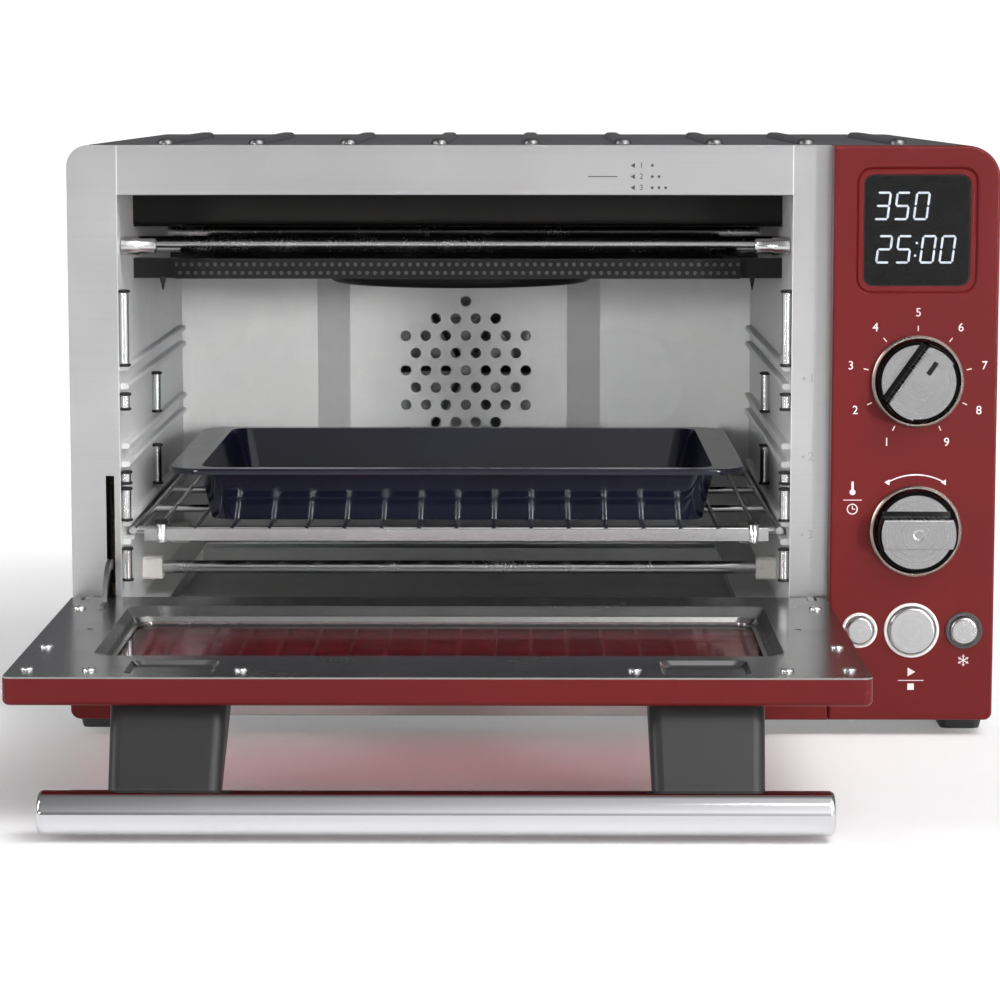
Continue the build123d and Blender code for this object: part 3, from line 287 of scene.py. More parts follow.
class Wiring:
    """Adds nodes to one node tree, in a row, and joins them."""

    def __init__(self, tree):
        self.tree = tree
        self.column = 0
        tree.nodes.clear()

    def add(self, kind, sockets=(), pick=0, **options):
        """Adds a node, with each socket set to a value or joined to an output. Returns one output."""
        node = self.tree.nodes.new(kind if kind.startswith("NodeGroup") else "ShaderNode" + kind)
        node.location = (self.column * 190, -(self.column % 3) * 160)
        self.column += 1
        for name, value in options.items():
            setattr(node, name, value)
        for name, value in dict(sockets).items():
            if isinstance(value, bpy.types.NodeSocket):
                self.tree.links.new(value, node.inputs[name])
            else:
                node.inputs[name].default_value = value
        return node.outputs[pick] if node.outputs else node

    def math(self, operation, first, second=0.0, third=0.0):
        """A Math node."""
        return self.add("Math", {0: first, 1: second, 2: third}, operation=operation)

    def vector(self, operation, first, second=(0, 0, 0), pick=0):
        """A Vector Math node."""
        return self.add("VectorMath", {0: first, 1: second}, pick=pick, operation=operation)

    def spread(self, value, low, high, start=0.0, end=1.0):
        """A value moved from one range to another, and kept within it."""
        return self.add("MapRange", {0: value, 1: low, 2: high, 3: start, 4: end})

    def blend(self, amount, first, second, kind="MIX"):
        """Two colours mixed."""
        return self.add("Mix", {0: amount, 6: first, 7: second}, pick=2, data_type="RGBA", blend_type=kind)

    def shades(self, tone, first, second):
        """One colour where a soft noise is low and another where it is high."""
        return self.blend(self.spread(tone, 0.3, 0.7), first, second)

    def place(self):
        """The shaded point, in the object's own coordinates."""
        return self.add("TexCoord", pick=3)

    def noise(self, vector, scale, detail=2.0, **more):
        """Soft noise of this fineness and detail."""
        return self.add("TexNoise", {"Vector": vector, "Scale": scale, "Detail": detail, **more})

    def bump(self, height, strength, distance):
        """A normal tilted by a height."""
        return self.add("Bump", {"Height": height, "Strength": strength, "Distance": distance})

    def group(self, name, pick=0, **sockets):
        """One of the oven's own node groups. Returns one of its outputs."""
        node = self.tree.nodes.new("ShaderNodeGroup")
        node.node_tree = bpy.data.node_groups[name]
        node.location = (self.column * 190, 120)
        self.column += 1
        for key, value in sockets.items():
            title = key.replace("_", " ").title()
            if isinstance(value, bpy.types.NodeSocket):
                self.tree.links.new(value, node.inputs[title])
            else:
                node.inputs[title].default_value = value
        return node.outputs[pick]


def new_group(name, inputs, outputs):
    """Starts a node group with named sockets. Returns its wiring, its inputs and what ends it."""
    tree = bpy.data.node_groups.new(name, "ShaderNodeTree")
    for title, kind, value in inputs:
        socket = tree.interface.new_socket(title, in_out="INPUT", socket_type="NodeSocket" + kind)
        socket.default_value = value
    for title, kind in outputs:
        tree.interface.new_socket(title, in_out="OUTPUT", socket_type="NodeSocket" + kind)
    wiring = Wiring(tree)
    entry = tree.nodes.new("NodeGroupInput")
    entry.location = (-240, 0)
    close = tree.nodes.new("NodeGroupOutput")

    def finish(*results):
        close.location = (wiring.column * 190, 0)
        for socket, result in zip(close.inputs, results):
            tree.links.new(result, socket)

    return wiring, entry.outputs, finish


def grain_group():
    """Fine lines left by brushing or rolling, long one way and narrow the other."""
    w, given, finish = new_group("grain", [("Scale", "Vector", (15, 1500, 1500)), ("Contrast", "Float", 0.5)],
                                 [("Tone", "Float"), ("Height", "Float")])
    place = w.place()
    stretched = w.vector("MULTIPLY", place, given["Scale"])
    fine = w.noise(stretched, 1.0, 5.0, Roughness=0.65)
    broad = w.noise(stretched, 0.13, 2.0)
    both = w.math("ADD", w.math("MULTIPLY", fine, 0.7), w.math("MULTIPLY", broad, 0.3))
    away = w.math("MULTIPLY", w.math("SUBTRACT", both, 0.5), given["Contrast"])
    finish(w.math("ADD", away, 0.5), both)


def smudge_group():
    """Soft patches with fine ridges, as handling leaves on a smooth surface."""
    w, given, finish = new_group("smudges", [("Size", "Float", 0.03), ("Amount", "Float", 0.5)],
                                 [("Mask", "Float")])
    place = w.place()
    size = w.add("CombineXYZ", {axis: given["Size"] for axis in range(3)})
    spots = w.vector("DIVIDE", place, size)
    patches = w.spread(w.noise(spots, 1.0, 3.0), 0.48, 0.72)
    cell = w.add("TexVoronoi", {"Vector": spots, "Scale": 1.3})
    ridges = w.math("SINE", w.math("MULTIPLY", cell, 90.0))
    lined = w.spread(ridges, -1.0, 1.0, 0.55, 1.0)
    finish(w.math("MULTIPLY", w.math("MULTIPLY", patches, lined), given["Amount"]))


def dust_group():
    """Specks and a thin veil that settle on faces which look up."""
    w, given, finish = new_group("dust", [("Amount", "Float", 0.3)], [("Mask", "Float")])
    coordinates = w.place()
    facing = w.add("SeparateXYZ", {0: coordinates.node.outputs["Normal"]}, pick=2)
    upward = w.spread(facing, 0.35, 1.0)
    veil = w.noise(coordinates, 40.0, 4.0)
    specks = w.spread(w.noise(coordinates, 900.0, 2.0), 0.62, 0.75)
    both = w.math("ADD", w.spread(veil, 0.4, 0.8, 0.1, 0.6), w.math("MULTIPLY", specks, 0.5))
    finish(w.math("MULTIPLY", w.math("MULTIPLY", both, upward), given["Amount"]))


def wear_and_highlight_group():
    """A mask along a piece's edges, broken up as rubbing leaves it; it lightens rubbed edges and also paints
    the highlight of edges that catch the light.
    """
    w, given, finish = new_group("edge wear and highlight", [("Radius", "Float", 0.001), ("Amount", "Float", 0.6)],
                                 [("Mask", "Float")])
    flat = w.add("NewGeometry", pick=1)
    soft = w.add("Bevel", {"Radius": given["Radius"]}, samples=4)
    turned = w.math("SUBTRACT", 1.0, w.vector("DOT_PRODUCT", flat, soft, pick=1))
    edge = w.spread(turned, 0.01, 0.16)
    place = w.place()
    broken = w.spread(w.noise(place, 260.0, 4.0), 0.35, 0.62, 0.25, 1.0)
    finish(w.math("MULTIPLY", w.math("MULTIPLY", edge, broken), given["Amount"]))


def speckle_group():
    """Tiny round specks, as in sprayed enamel or cast grit."""
    w, given, finish = new_group("speckle", [("Scale", "Float", 700.0), ("Size", "Float", 0.18)],
                                 [("Mask", "Float"), ("Height", "Float")])
    place = w.place()
    dots = w.add("TexVoronoi", {"Vector": place, "Scale": given["Scale"]})
    few = w.noise(place, 90.0, 2.0)
    mask = w.math("LESS_THAN", dots, w.math("MULTIPLY", given["Size"], w.spread(few, 0.35, 0.7)))
    finish(mask, w.math("SUBTRACT", 1.0, dots))


def orange_peel_group():
    """The slight waviness of sprayed paint and fired enamel."""
    w, given, finish = new_group("orange peel", [("Scale", "Float", 420.0)],
                                 [("Height", "Float"), ("Tone", "Float")])
    place = w.place()
    waves = w.noise(place, given["Scale"], 3.0, Roughness=0.45)
    tone = w.noise(place, 6.0, 2.0)
    finish(waves, tone)


def heat_stain_and_shade_group():
    """Straw and brown colour towards the top of the cavity: heat staining near the heaters, and painted shade
    under the heater guard.
    """
    w, given, finish = new_group("heat stain and shade", [("Low", "Float", 0.18), ("High", "Float", 0.28)],
                                 [("Mask", "Float")])
    place = w.place()
    height = w.add("SeparateXYZ", {0: place}, pick=2)
    rise = w.spread(height, given["Low"], given["High"])
    clouds = w.noise(place, 14.0, 5.0, Roughness=0.6)
    finish(w.math("MULTIPLY", rise, w.spread(clouds, 0.4, 0.75)))


def seam_highlight_group():
    """Two upright bright hairlines at the joints, on the front face only: painted highlight along the joint
    edges.
    """
    w, given, finish = new_group("front seam highlights", [("Left", "Float", -0.2), ("Right", "Float", 0.13),
                                                 ("Half Width", "Float", 0.0003), ("Front", "Float", -0.06)],
                                 [("Mask", "Float")])
    place = w.place()
    apart = w.add("SeparateXYZ", {0: place})
    across, along = apart, apart.node.outputs[1]
    near_left, near_right = (
        w.math("LESS_THAN", w.math("ABSOLUTE", w.math("SUBTRACT", across, given[side])), given["Half Width"])
        for side in ("Left", "Right"))
    either = w.math("MAXIMUM", near_left, near_right)
    finish(w.math("MULTIPLY", either, w.math("LESS_THAN", along, given["Front"])))


def punched_group():
    """Rows of small round holes along X, in a strip of height given by its middle."""
    w, given, finish = new_group("punched rows", [("Pitch", "Float", 0.004), ("Radius", "Float", 0.0011),
                                                  ("Middle", "Float", 0.234), ("Spacing", "Float", 0.0042),
                                                  ("Front", "Float", 0.001)], [("Mask", "Float")])
    place = w.place()
    apart = w.add("SeparateXYZ", {0: place})
    across, along, up = apart, apart.node.outputs[1], apart.node.outputs[2]
    row = w.math("DIVIDE", w.math("SUBTRACT", up, given["Middle"]), given["Spacing"])
    number = w.math("FLOOR", row)
    off_row = w.math("MULTIPLY", w.math("SUBTRACT", w.math("SUBTRACT", row, number), 0.5), given["Spacing"])
    shifted = w.math("ADD", w.math("DIVIDE", across, given["Pitch"]), w.math("MULTIPLY", number, 0.5))
    off_column = w.math("MULTIPLY", w.math("SUBTRACT", w.math("FRACT", shifted), 0.5), given["Pitch"])
    square = w.math("ADD", w.math("MULTIPLY", off_row, off_row), w.math("MULTIPLY", off_column, off_column))
    hole = w.math("LESS_THAN", w.math("SQRT", square), given["Radius"])
    two_rows = w.math("LESS_THAN", w.math("ABSOLUTE", w.math("ADD", number, 0.5)), 0.6)
    front = w.math("LESS_THAN", along, given["Front"])
    finish(w.math("MULTIPLY", w.math("MULTIPLY", hole, two_rows), front))


def start_material(name):
    """A cleared material of this name with its Principled shader and output joined."""
    material = bpy.data.materials.new(name)
    material.use_nodes = True
    w = Wiring(material.node_tree)
    shader = w.add("BsdfPrincipled").node
    shader.location = (2600, 0)
    out = w.add("OutputMaterial")
    out.location = (2900, 0)
    w.tree.links.new(shader.outputs[0], out.inputs["Surface"])
    w.column = 0
    return w, shader


def feed(w, shader, **sockets):
    """Sets or joins the shader's sockets by name."""
    for key, value in sockets.items():
        title = {"ior_level": "Specular IOR Level", "ior": "IOR"}.get(key, key.replace("_", " ").title())
        if isinstance(value, bpy.types.NodeSocket):
            w.tree.links.new(value, shader.inputs[title])
        else:
            shader.inputs[title].default_value = value


def rgba(values, scale=1.0):
    """A setting's colour with an alpha, made lighter or darker."""
    return tuple(min(1.0, value * scale) for value in values[:3]) + (1.0,)


def grey(level):
    """A neutral colour."""
    return (level, level, level)


def brushed_metal(name, tint, scale, roughness=0.32, contrast=0.5, depth=0.00002, wear_and_highlight=0.0, smudge=0.25,
                  anisotropy=0.0, dust=0.0, seam_highlights=False):
    """A bare metal with brushing lines, handling marks and edges made brighter by rubbing and by a painted
    highlight.
    """
    w, shader = start_material(name)
    tone = w.group("grain", scale=scale, contrast=contrast)
    height = tone.node.outputs["Height"]
    marks = w.group("smudges", size=0.04, amount=smudge)
    shade = w.shades(tone, rgba(tint, 0.86), rgba(tint, 1.12))
    shade = w.blend(w.math("MULTIPLY", marks, 0.35), shade, rgba(tint, 0.8))
    if wear_and_highlight:
        # lighter edges: rubbed metal, and a painted highlight along the edges
        shade = w.blend(w.group("edge wear and highlight", radius=0.0008, amount=wear_and_highlight), shade, rgba(tint, 1.6))
    if seam_highlights:
        seam_highlight = w.group("front seam highlights", left=CAVITY_LEFT, right=CAVITY_RIGHT, half_width=0.00028,
                       front=FRAME_FACE + 0.0004)
        # lightened along the front joints: painted highlight of the joint edges
        shade = w.blend(seam_highlight, shade, rgba(grey(0.88)))
    if dust:
        settled = w.group("dust", amount=dust)
        shade = w.blend(settled, shade, (0.45, 0.44, 0.42, 1))
    rough = w.math("ADD", w.spread(tone, 0.3, 0.7, roughness - 0.06, roughness + 0.06),
                   w.math("MULTIPLY", marks, 0.18))
    bump = w.bump(height, 0.35, depth)
    feed(w, shader, base_color=shade, metallic=1.0, roughness=rough, normal=bump, anisotropic=anisotropy)


def coated(name, tint, light, roughness=0.4, peel=420.0, depth=0.00003, wear_and_highlight=0.0, worn_and_lit=grey(0.3),
           speckles=None, dust=0.0, coat=0.0, smudge=0.2, metallic=0.0, shine=0.5):
    """A painted, enamelled or moulded finish between two tones, with rubbed edges that also carry a painted
    highlight, specks and dust.
    """
    w, shader = start_material(name)
    height = w.group("orange peel", scale=peel)
    tone = height.node.outputs["Tone"]
    shade = w.shades(tone, rgba(tint), rgba(light))
    if speckles:
        shade = w.blend(w.group("speckle", scale=speckles[0], size=speckles[1]), shade,
                        rgba(speckles[2]))
    marks = w.group("smudges", size=0.035, amount=smudge)
    if wear_and_highlight:
        # edges in another colour: rubbed finish, and a painted highlight along the edges
        shade = w.blend(w.group("edge wear and highlight", radius=0.0009, amount=wear_and_highlight), shade, rgba(worn_and_lit))
    if dust:
        shade = w.blend(w.group("dust", amount=dust), shade, (0.42, 0.40, 0.38, 1))
    rough = w.math("ADD", w.spread(height, 0.2, 0.8, roughness - 0.04, roughness + 0.05),
                   w.math("MULTIPLY", marks, 0.2))
    bump = w.bump(height, 0.3, depth)
    feed(w, shader, base_color=shade, roughness=rough, normal=bump, coat_weight=coat, coat_roughness=0.08,
         metallic=metallic, ior_level=shine)


# ================= finishes =================


def lining_steel(tint):
    """Aluminised steel of the oven's walls: a soft spangle, rolling lines, and heat staining with painted
    shade towards the top.
    """
    w, shader = start_material("oven lining")
    tone = w.group("grain", scale=(700, 12, 700), contrast=0.35)
    place = w.place()
    spangle = w.add("TexVoronoi", {"Vector": place, "Scale": 120.0}, pick=1)
    flake = w.add("SeparateXYZ", {0: spangle})
    shade = w.shades(tone, rgba(tint, 0.92), rgba(tint, 1.06))
    shade = w.blend(w.math("MULTIPLY", flake, 0.10), shade, rgba(tint, 1.25))
    # browner and darker towards the top: heat staining, and painted shade under the heater guard
    stain_and_shade = w.group("heat stain and shade", low=0.17, high=0.30)
    shade = w.blend(w.math("MULTIPLY", stain_and_shade, 0.35), shade, (0.40, 0.34, 0.28, 1))
    rough = w.math("ADD", w.spread(flake, 0.0, 1.0, 0.42, 0.50), w.math("MULTIPLY", stain_and_shade, 0.1))
    bump = w.bump(tone.node.outputs["Height"], 0.3, 0.00003)
    feed(w, shader, base_color=shade, metallic=0.4, roughness=rough, normal=bump)


def guard_enamel():
    """The matt black heater guard, with its two rows of punched perforations, painted lighter than the enamel
    as painted glints.
    """
    w, shader = start_material("guard black")
    low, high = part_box("heater_guard")
    holes_and_glints = w.group("punched rows", pitch=0.0041, radius=0.00105, middle=high.z - 0.0052, spacing=0.0044,
                    front=low.y + 0.0006)
    height = w.group("orange peel", scale=900.0)
    worn_and_lit = w.group("edge wear and highlight", radius=0.0007, amount=0.5)
    shade = w.shades(height.node.outputs["Tone"], rgba(grey(0.005)), rgba(grey(0.010)))
    # lighter edges: rubbed enamel, and a painted highlight along the edges
    shade = w.blend(worn_and_lit, shade, rgba(grey(0.045)))
    # the punched perforations are painted lighter than the enamel: painted glints
    shade = w.blend(holes_and_glints, shade, rgba(grey(0.05)))
    sunk = w.math("SUBTRACT", height, w.math("MULTIPLY", holes_and_glints, 6.0))
    bump = w.bump(sunk, 0.6, 0.00012)
    feed(w, shader, base_color=shade, roughness=w.spread(height, 0.2, 0.8, 0.34, 0.5), normal=bump,
         ior_level=0.15)


def board_green():
    """A control board: solder mask, fine tracks and tinned pads."""
    w, shader = start_material("board green")
    place = w.place()
    tracks = w.add("TexBrick", {"Vector": place, "Scale": 160.0, "Mortar Size": 0.06,
                                "Color1": (0.01, 0.07, 0.03, 1), "Color2": (0.012, 0.085, 0.035, 1),
                                "Mortar": (0.03, 0.16, 0.06, 1)})
    pads = w.group("speckle", scale=420.0, size=0.30)
    shade = w.blend(pads, tracks, (0.55, 0.55, 0.52, 1))
    bump = w.bump(pads.node.outputs["Height"], 0.2, 0.0001)
    feed(w, shader, base_color=shade, roughness=w.spread(pads, 0, 1, 0.35, 0.25), normal=bump)


def wool():
    """Pressed glass wool around the cavity."""
    w, shader = start_material("glass wool")
    place = w.place()
    fibres = w.noise(w.vector("MULTIPLY", place, (200, 2600, 900)), 1.0, 8.0, Distortion=1.5)
    shade = w.shades(fibres, (0.45, 0.38, 0.20, 1), (0.85, 0.80, 0.62, 1))
    bump = w.bump(fibres, 0.8, 0.001)
    feed(w, shader, base_color=shade, roughness=w.spread(fibres, 0, 1, 0.8, 0.95), normal=bump)


def glass(name, tint, roughness=0.02, ior=1.5, clear=1.0):
    """Clear or tinted glass with faint handling marks."""
    w, shader = start_material(name)
    marks = w.group("smudges", size=0.05, amount=0.5)
    shade = w.blend(w.math("MULTIPLY", marks, 0.25), rgba(tint), rgba(tint, 0.75))
    rough = w.spread(marks, 0, 1, roughness, roughness + 0.12)
    feed(w, shader, base_color=shade, roughness=rough, ior=ior, transmission_weight=clear)


def lit_segments(tint):
    """The display's lit segments, slightly uneven from end to end."""
    w, shader = start_material("lit segment")
    place = w.place()
    uneven = w.spread(w.noise(place, 300.0, 1.0), 0.3, 0.7)
    shade = w.blend(uneven, rgba(tint, 0.85), rgba(tint, 1.1))
    feed(w, shader, base_color=shade, emission_color=shade, emission_strength=0.75, roughness=0.5)


def turned_metal(name, tint, at, rings=2600.0, roughness=0.24, edge=1.0):
    """A knob face with the fine circular lines of a lathe around each given middle."""
    w, shader = start_material(name)
    place = w.place()
    nearest = None
    for middle_point in at:
        away = w.vector("SUBTRACT", place, tuple(middle_point))
        flat = w.vector("MULTIPLY", away, (1, 0, 1))
        reach = w.vector("LENGTH", flat, pick=1)
        nearest = reach if nearest is None else w.math("MINIMUM", nearest, reach)
    lines = w.add("TexNoise", {"W": w.math("MULTIPLY", nearest, rings), "Scale": 1.0, "Detail": 3.0},
                  noise_dimensions="1D")
    marks = w.group("smudges", size=0.012, amount=0.4)
    shade = w.shades(lines, rgba(tint, 0.82), rgba(tint, 1.12))
    # lighter edges: rubbed metal, and a painted highlight along the edges
    shade = w.blend(w.group("edge wear and highlight", radius=0.0006, amount=0.6), shade, rgba(tint, 1.5))
    shade = w.blend(w.math("GREATER_THAN", nearest, edge), shade, rgba(grey(0.006)))
    rough = w.math("ADD", w.spread(lines, 0.3, 0.7, roughness - 0.05, roughness + 0.06),
                   w.math("MULTIPLY", marks, 0.15))
    bump = w.bump(lines, 0.4, 0.00002)
    feed(w, shader, base_color=shade, metallic=1.0, roughness=rough, normal=bump)


CAD_FINISHES = {
    "red paint": "control_panel lower_trim door_shell display_bezel",
    "front steel": "left_stile right_stile sill front_top_rail",
    "shaded cover steel": "top_cover left_side_panel right_side_panel",
    "galvanised": "back_panel base_plate partition_panel fan_housing hinge_brackets",
    "oven lining": "liner_left liner_right liner_top liner_back liner_floor",
    "door steel": "door_inner_panel",
    "clear glass": "door_glass_inner",
    "lens glass": "display_lens",
    "tinted glass": "door_glass_outer",
    "bright chrome": "handle_bar",
    "wire chrome": "wire_rack rack_posts",
    "screw steel": "door_screws case_screws",
    "arm steel": "hinge_arm",
    "bracket grey": "handle_brackets",
    "heater sheath": "upper_heaters lower_heaters",
    "white ceramic": "heater_insulators",
    "guard black": "heater_guard",
    "reflector painted shade": "upper_reflector",
    "pan enamel": "roasting_pan",
    "tray steel": "crumb_tray",
    "black rubber": "feet cord_gland",
    "knob metal": "mode_knob select_knob select_plunger",
    "button metal": "left_button start_button right_button",
    "knob ring": "knob_rings",
    "button ring": "button_rings",
    "black plastic": "display_module rotary_encoders terminal_block door_switch",
    "board green": "control_board power_board",
    "glass wool": "insulation",
    "motor steel": "fan_motor fan temperature_sensor thermal_fuse",
}


class OVEN_OT_finishes(Operator):
    """Builds every node group and material, and gives each CAD part its finish"""

    bl_idname = "oven.finishes"
    bl_label = "Finishes"

    def execute(self, context):
        tint = settings().colours
        for build in (grain_group, smudge_group, dust_group, wear_and_highlight_group, speckle_group, orange_peel_group,
                      heat_stain_and_shade_group, seam_highlight_group, punched_group):
            build()
        coated("red paint", tint.paint, rgba(tint.paint, 1.18), 0.34, 520.0, 0.00002, wear_and_highlight=0.25,
               worn_and_lit=rgba(tint.paint, 2.2), dust=0.03, smudge=0.12, shine=0.2)
        brushed_metal("front steel", tint.steel, (14, 900, 1600), 0.29, 0.22, wear_and_highlight=0.2, seam_highlights=True)
        # the front steel's colour darkened to a third: painted shade on the top and sides
        brushed_metal("shaded cover steel", rgba(tint.steel, 0.34), (1500, 14, 1500), 0.36, 0.45,
                      wear_and_highlight=0.3, dust=0.12)
        coated("galvanised", (0.34, 0.35, 0.36), (0.48, 0.49, 0.50), 0.46, 260.0, 0.00003,
               speckles=(480.0, 0.3, (0.44, 0.45, 0.46)), dust=0.2, metallic=0.9)
        lining_steel(tint.lining)
        brushed_metal("door steel", (0.32, 0.32, 0.315), (10, 1300, 1300), 0.22, 0.35, wear_and_highlight=0.35, smudge=0.4,
                      dust=0.04)
        glass("clear glass", (0.93, 0.88, 0.88), 0.04, 1.10)
        glass("lens glass", (0.55, 0.57, 0.60), 0.03)
        glass("tinted glass", tint.glass, 0.03, 1.3, 0.82)
        brushed_metal("bright chrome", (0.66, 0.66, 0.67), (40, 900, 900), 0.10, 0.15, 0.00001, smudge=0.5)
        brushed_metal("wire chrome", grey(0.62), (300, 300, 300), 0.20, 0.35, 0.00002, smudge=0.4)
        brushed_metal("screw steel", (0.68, 0.68, 0.67), (400, 400, 400), 0.25, 0.5, wear_and_highlight=0.4)
        brushed_metal("arm steel", grey(0.22), (60, 900, 900), 0.38, 0.5, wear_and_highlight=0.5)
        coated("bracket grey", tint.bracket, rgba(tint.bracket, 1.35), 0.42, 1500.0, 0.00004,
               wear_and_highlight=0.35, worn_and_lit=(0.12, 0.115, 0.115), dust=0.06, shine=0.3)
        coated("heater sheath", grey(0.46), (0.56, 0.555, 0.55), 0.22, 500.0, 0.00002, smudge=0.5,
               metallic=1.0)
        coated("white ceramic", (0.62, 0.60, 0.56), (0.74, 0.72, 0.68), 0.55, 900.0, 0.00005, wear_and_highlight=0.3,
               worn_and_lit=(0.85, 0.84, 0.82), speckles=(900.0, 0.22, (0.38, 0.35, 0.31)), dust=0.1)
        guard_enamel()
        # near black: painted shade at the top of the cavity, where the reflector sits
        brushed_metal("reflector painted shade", (0.016, 0.0155, 0.015), (12, 900, 900), 0.42, 0.5, wear_and_highlight=0.15)
        coated("pan enamel", tint.enamel, rgba(tint.enamel, 1.6), 0.09, 180.0, 0.00006,
               wear_and_highlight=0.12, worn_and_lit=(0.05, 0.05, 0.08), speckles=(620.0, 0.14, (0.05, 0.05, 0.08)),
               coat=0.15, shine=0.3, smudge=0.3)
        brushed_metal("tray steel", grey(0.48), (12, 1100, 1100), 0.36, 0.4, wear_and_highlight=0.3, smudge=0.5,
                      dust=0.06)
        coated("black rubber", grey(0.012), grey(0.022), 0.66, 1800.0, 0.00005, wear_and_highlight=0.4,
               worn_and_lit=grey(0.07), dust=0.35)
        turned_metal("knob metal", grey(0.34), (MODE_AT, SELECT_AT), edge=18.7 * MM)
        turned_metal("button metal", grey(0.50),
                     [middle(name) for name in ("left_button", "start_button", "right_button")], 2200.0, 0.22)
        brushed_metal("knob ring", tint.ring, (900, 900, 900), 0.26, 0.3, wear_and_highlight=0.4)
        coated("button ring", (0.60, 0.58, 0.56), (0.70, 0.68, 0.66), 0.35, 800.0, 0.00002, wear_and_highlight=0.3,
               worn_and_lit=grey(0.8))
        coated("dark ring", (0.030, 0.026, 0.026), (0.045, 0.04, 0.04), 0.35, 800.0, 0.00002, wear_and_highlight=0.4,
               worn_and_lit=(0.16, 0.15, 0.15))
        coated("black plastic", (0.010, 0.010, 0.012), (0.018, 0.018, 0.020), 0.26, 1200.0, 0.00002,
               wear_and_highlight=0.25, worn_and_lit=grey(0.08), smudge=0.3)
        # black for dark fittings, and also for bars and crosses that paint shade in recesses
        coated("black fitting and painted shade", grey(0.008), grey(0.016), 0.36, 900.0, 0.00003, wear_and_highlight=0.4,
               worn_and_lit=grey(0.10), shine=0.1)
        coated("panel print", tint.print_ink, rgba(tint.print_ink, 1.06), 0.6, 2500.0, 0.00001)
        coated("frame print", grey(0.030), grey(0.05), 0.6, 2500.0, 0.00001)
        coated("stile print", grey(0.30), grey(0.36), 0.5, 2500.0, 0.00001, metallic=0.5)
        lit_segments(tint.digits)
        board_green()
        wool()
        brushed_metal("motor steel", (0.42, 0.42, 0.43), (600, 20, 600), 0.36, 0.5, wear_and_highlight=0.4, dust=0.15)
        for finish, names in CAD_FINISHES.items():
            for name in names.split():
                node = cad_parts[name]
                for socket in node.material_slots:
                    socket.material = bpy.data.materials[finish]
        return {"FINISHED"}


# ================= oven cavity =================

# heights between which each bright post stands, in millimetres, for each depth behind the frame's face
POST_SPANS = {4: ((188.5, 226), (166, 173.5), (128, 133.5), (109, 125), (78, 94)),
              150: ((151, 172), (111, 132))}
POST_X = (CAVITY_LEFT + 2.45 * MM, CAVITY_RIGHT - 2.45 * MM)


class OVEN_OT_post_collars(Operator):
    """Adds the dark collars at the ends of every bright post beside the racks"""

    bl_idname = "oven.post_collars"
    bl_label = "Post collars"

    def execute(self, context):
        radius = settings().sizes.collar
        collar = lathe("collar", ((radius * 0.7, -0.0009), (radius, -0.0005), (radius, 0.0005),
                                  (radius * 0.7, 0.0009)), (0, 0, 0), steps=16)
        collars = [copied(collar, (x, FRAME_FACE + depth * MM, z * MM))
                   for x in POST_X for depth, spans in POST_SPANS.items() for span in spans for z in span]
        bpy.data.objects.remove(collar)
        dressed(smooth(joined(collars, "post_collars")), "chassis", "black fitting and painted shade")
        return {"FINISHED"}


# a sleeve around the end of a heater tube: radius and distance from the wall
SLEEVE = ((3.2 * MM, 0.0), (4.6 * MM, 0.6 * MM), (4.6 * MM, 9.0 * MM), (3.9 * MM, 10.0 * MM),
          (3.9 * MM, 17.4 * MM), (3.2 * MM, 18.2 * MM))
HEATER_DEPTH = 14 * MM  # from the frame's face back to the front heater


class OVEN_OT_heater_fittings(Operator):
    """Adds the bright ends of the upper heaters and the pointed ends of their guard"""

    bl_idname = "oven.heater_fittings"
    bl_label = "Heater fittings"

    def execute(self, context):
        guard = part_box("heater_guard")[0]
        tube_z = middle("upper_heaters").z
        ends, tips = [], []
        for wall, inward in ((CAVITY_LEFT, 1), (CAVITY_RIGHT, -1)):
            profile = SLEEVE if inward > 0 else [(radius, -along) for radius, along in reversed(SLEEVE)]
            ends.append(lathe("end", profile, (wall, FRAME_FACE + HEATER_DEPTH, tube_z + 2.6 * MM), axis="X"))
            at = (wall + inward * 16 * MM, guard.y + 0.6 * MM, guard.z + 4.4 * MM)
            tip = fresh(bpy.ops.mesh.primitive_cone_add, "tip", vertices=4, radius1=2.4 * MM,
                        radius2=0.4 * MM, depth=7 * MM, location=at, rotation=(pi, 0, pi / 4),
                        scale=(1, 0.5, 1))
            tips.append(rounded(settle(tip), 0.3 * MM))
        dressed(smooth(joined(ends, "heater_ends")), "chassis", "wire chrome")
        dressed(smooth(joined(tips, "guard_tips")), "chassis", "guard black")
        return {"FINISHED"}


class OVEN_OT_rack_fittings(Operator):
    """Adds the pins at the rack's front corners and their dark caps"""

    bl_idname = "oven.rack_fittings"
    bl_label = "Rack fittings"

    def execute(self, context):
        low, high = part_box("wire_rack")
        pins, caps = [], []
        for x in (low.x + 17 * MM, high.x - 15.5 * MM):
            at = (x, low.y + 1.0 * MM, low.z)
            pins.append(lathe("pin", ((2.2 * MM, -1.2 * MM), (2.7 * MM, -0.6 * MM), (2.7 * MM, 8.2 * MM),
                                      (2.3 * MM, 8.8 * MM)), at, steps=20))
            caps.append(lathe("cap", ((2.3 * MM, 8.4 * MM), (3.3 * MM, 8.8 * MM), (3.3 * MM, 10.4 * MM),
                                      (2.4 * MM, 11.2 * MM)), at, steps=20))
        dressed(smooth(joined(pins, "rack_pins")), "rack", "wire chrome")
        dressed(smooth(joined(caps, "rack_caps")), "rack", "black fitting and painted shade")
        return {"FINISHED"}


# ================= control panel =================

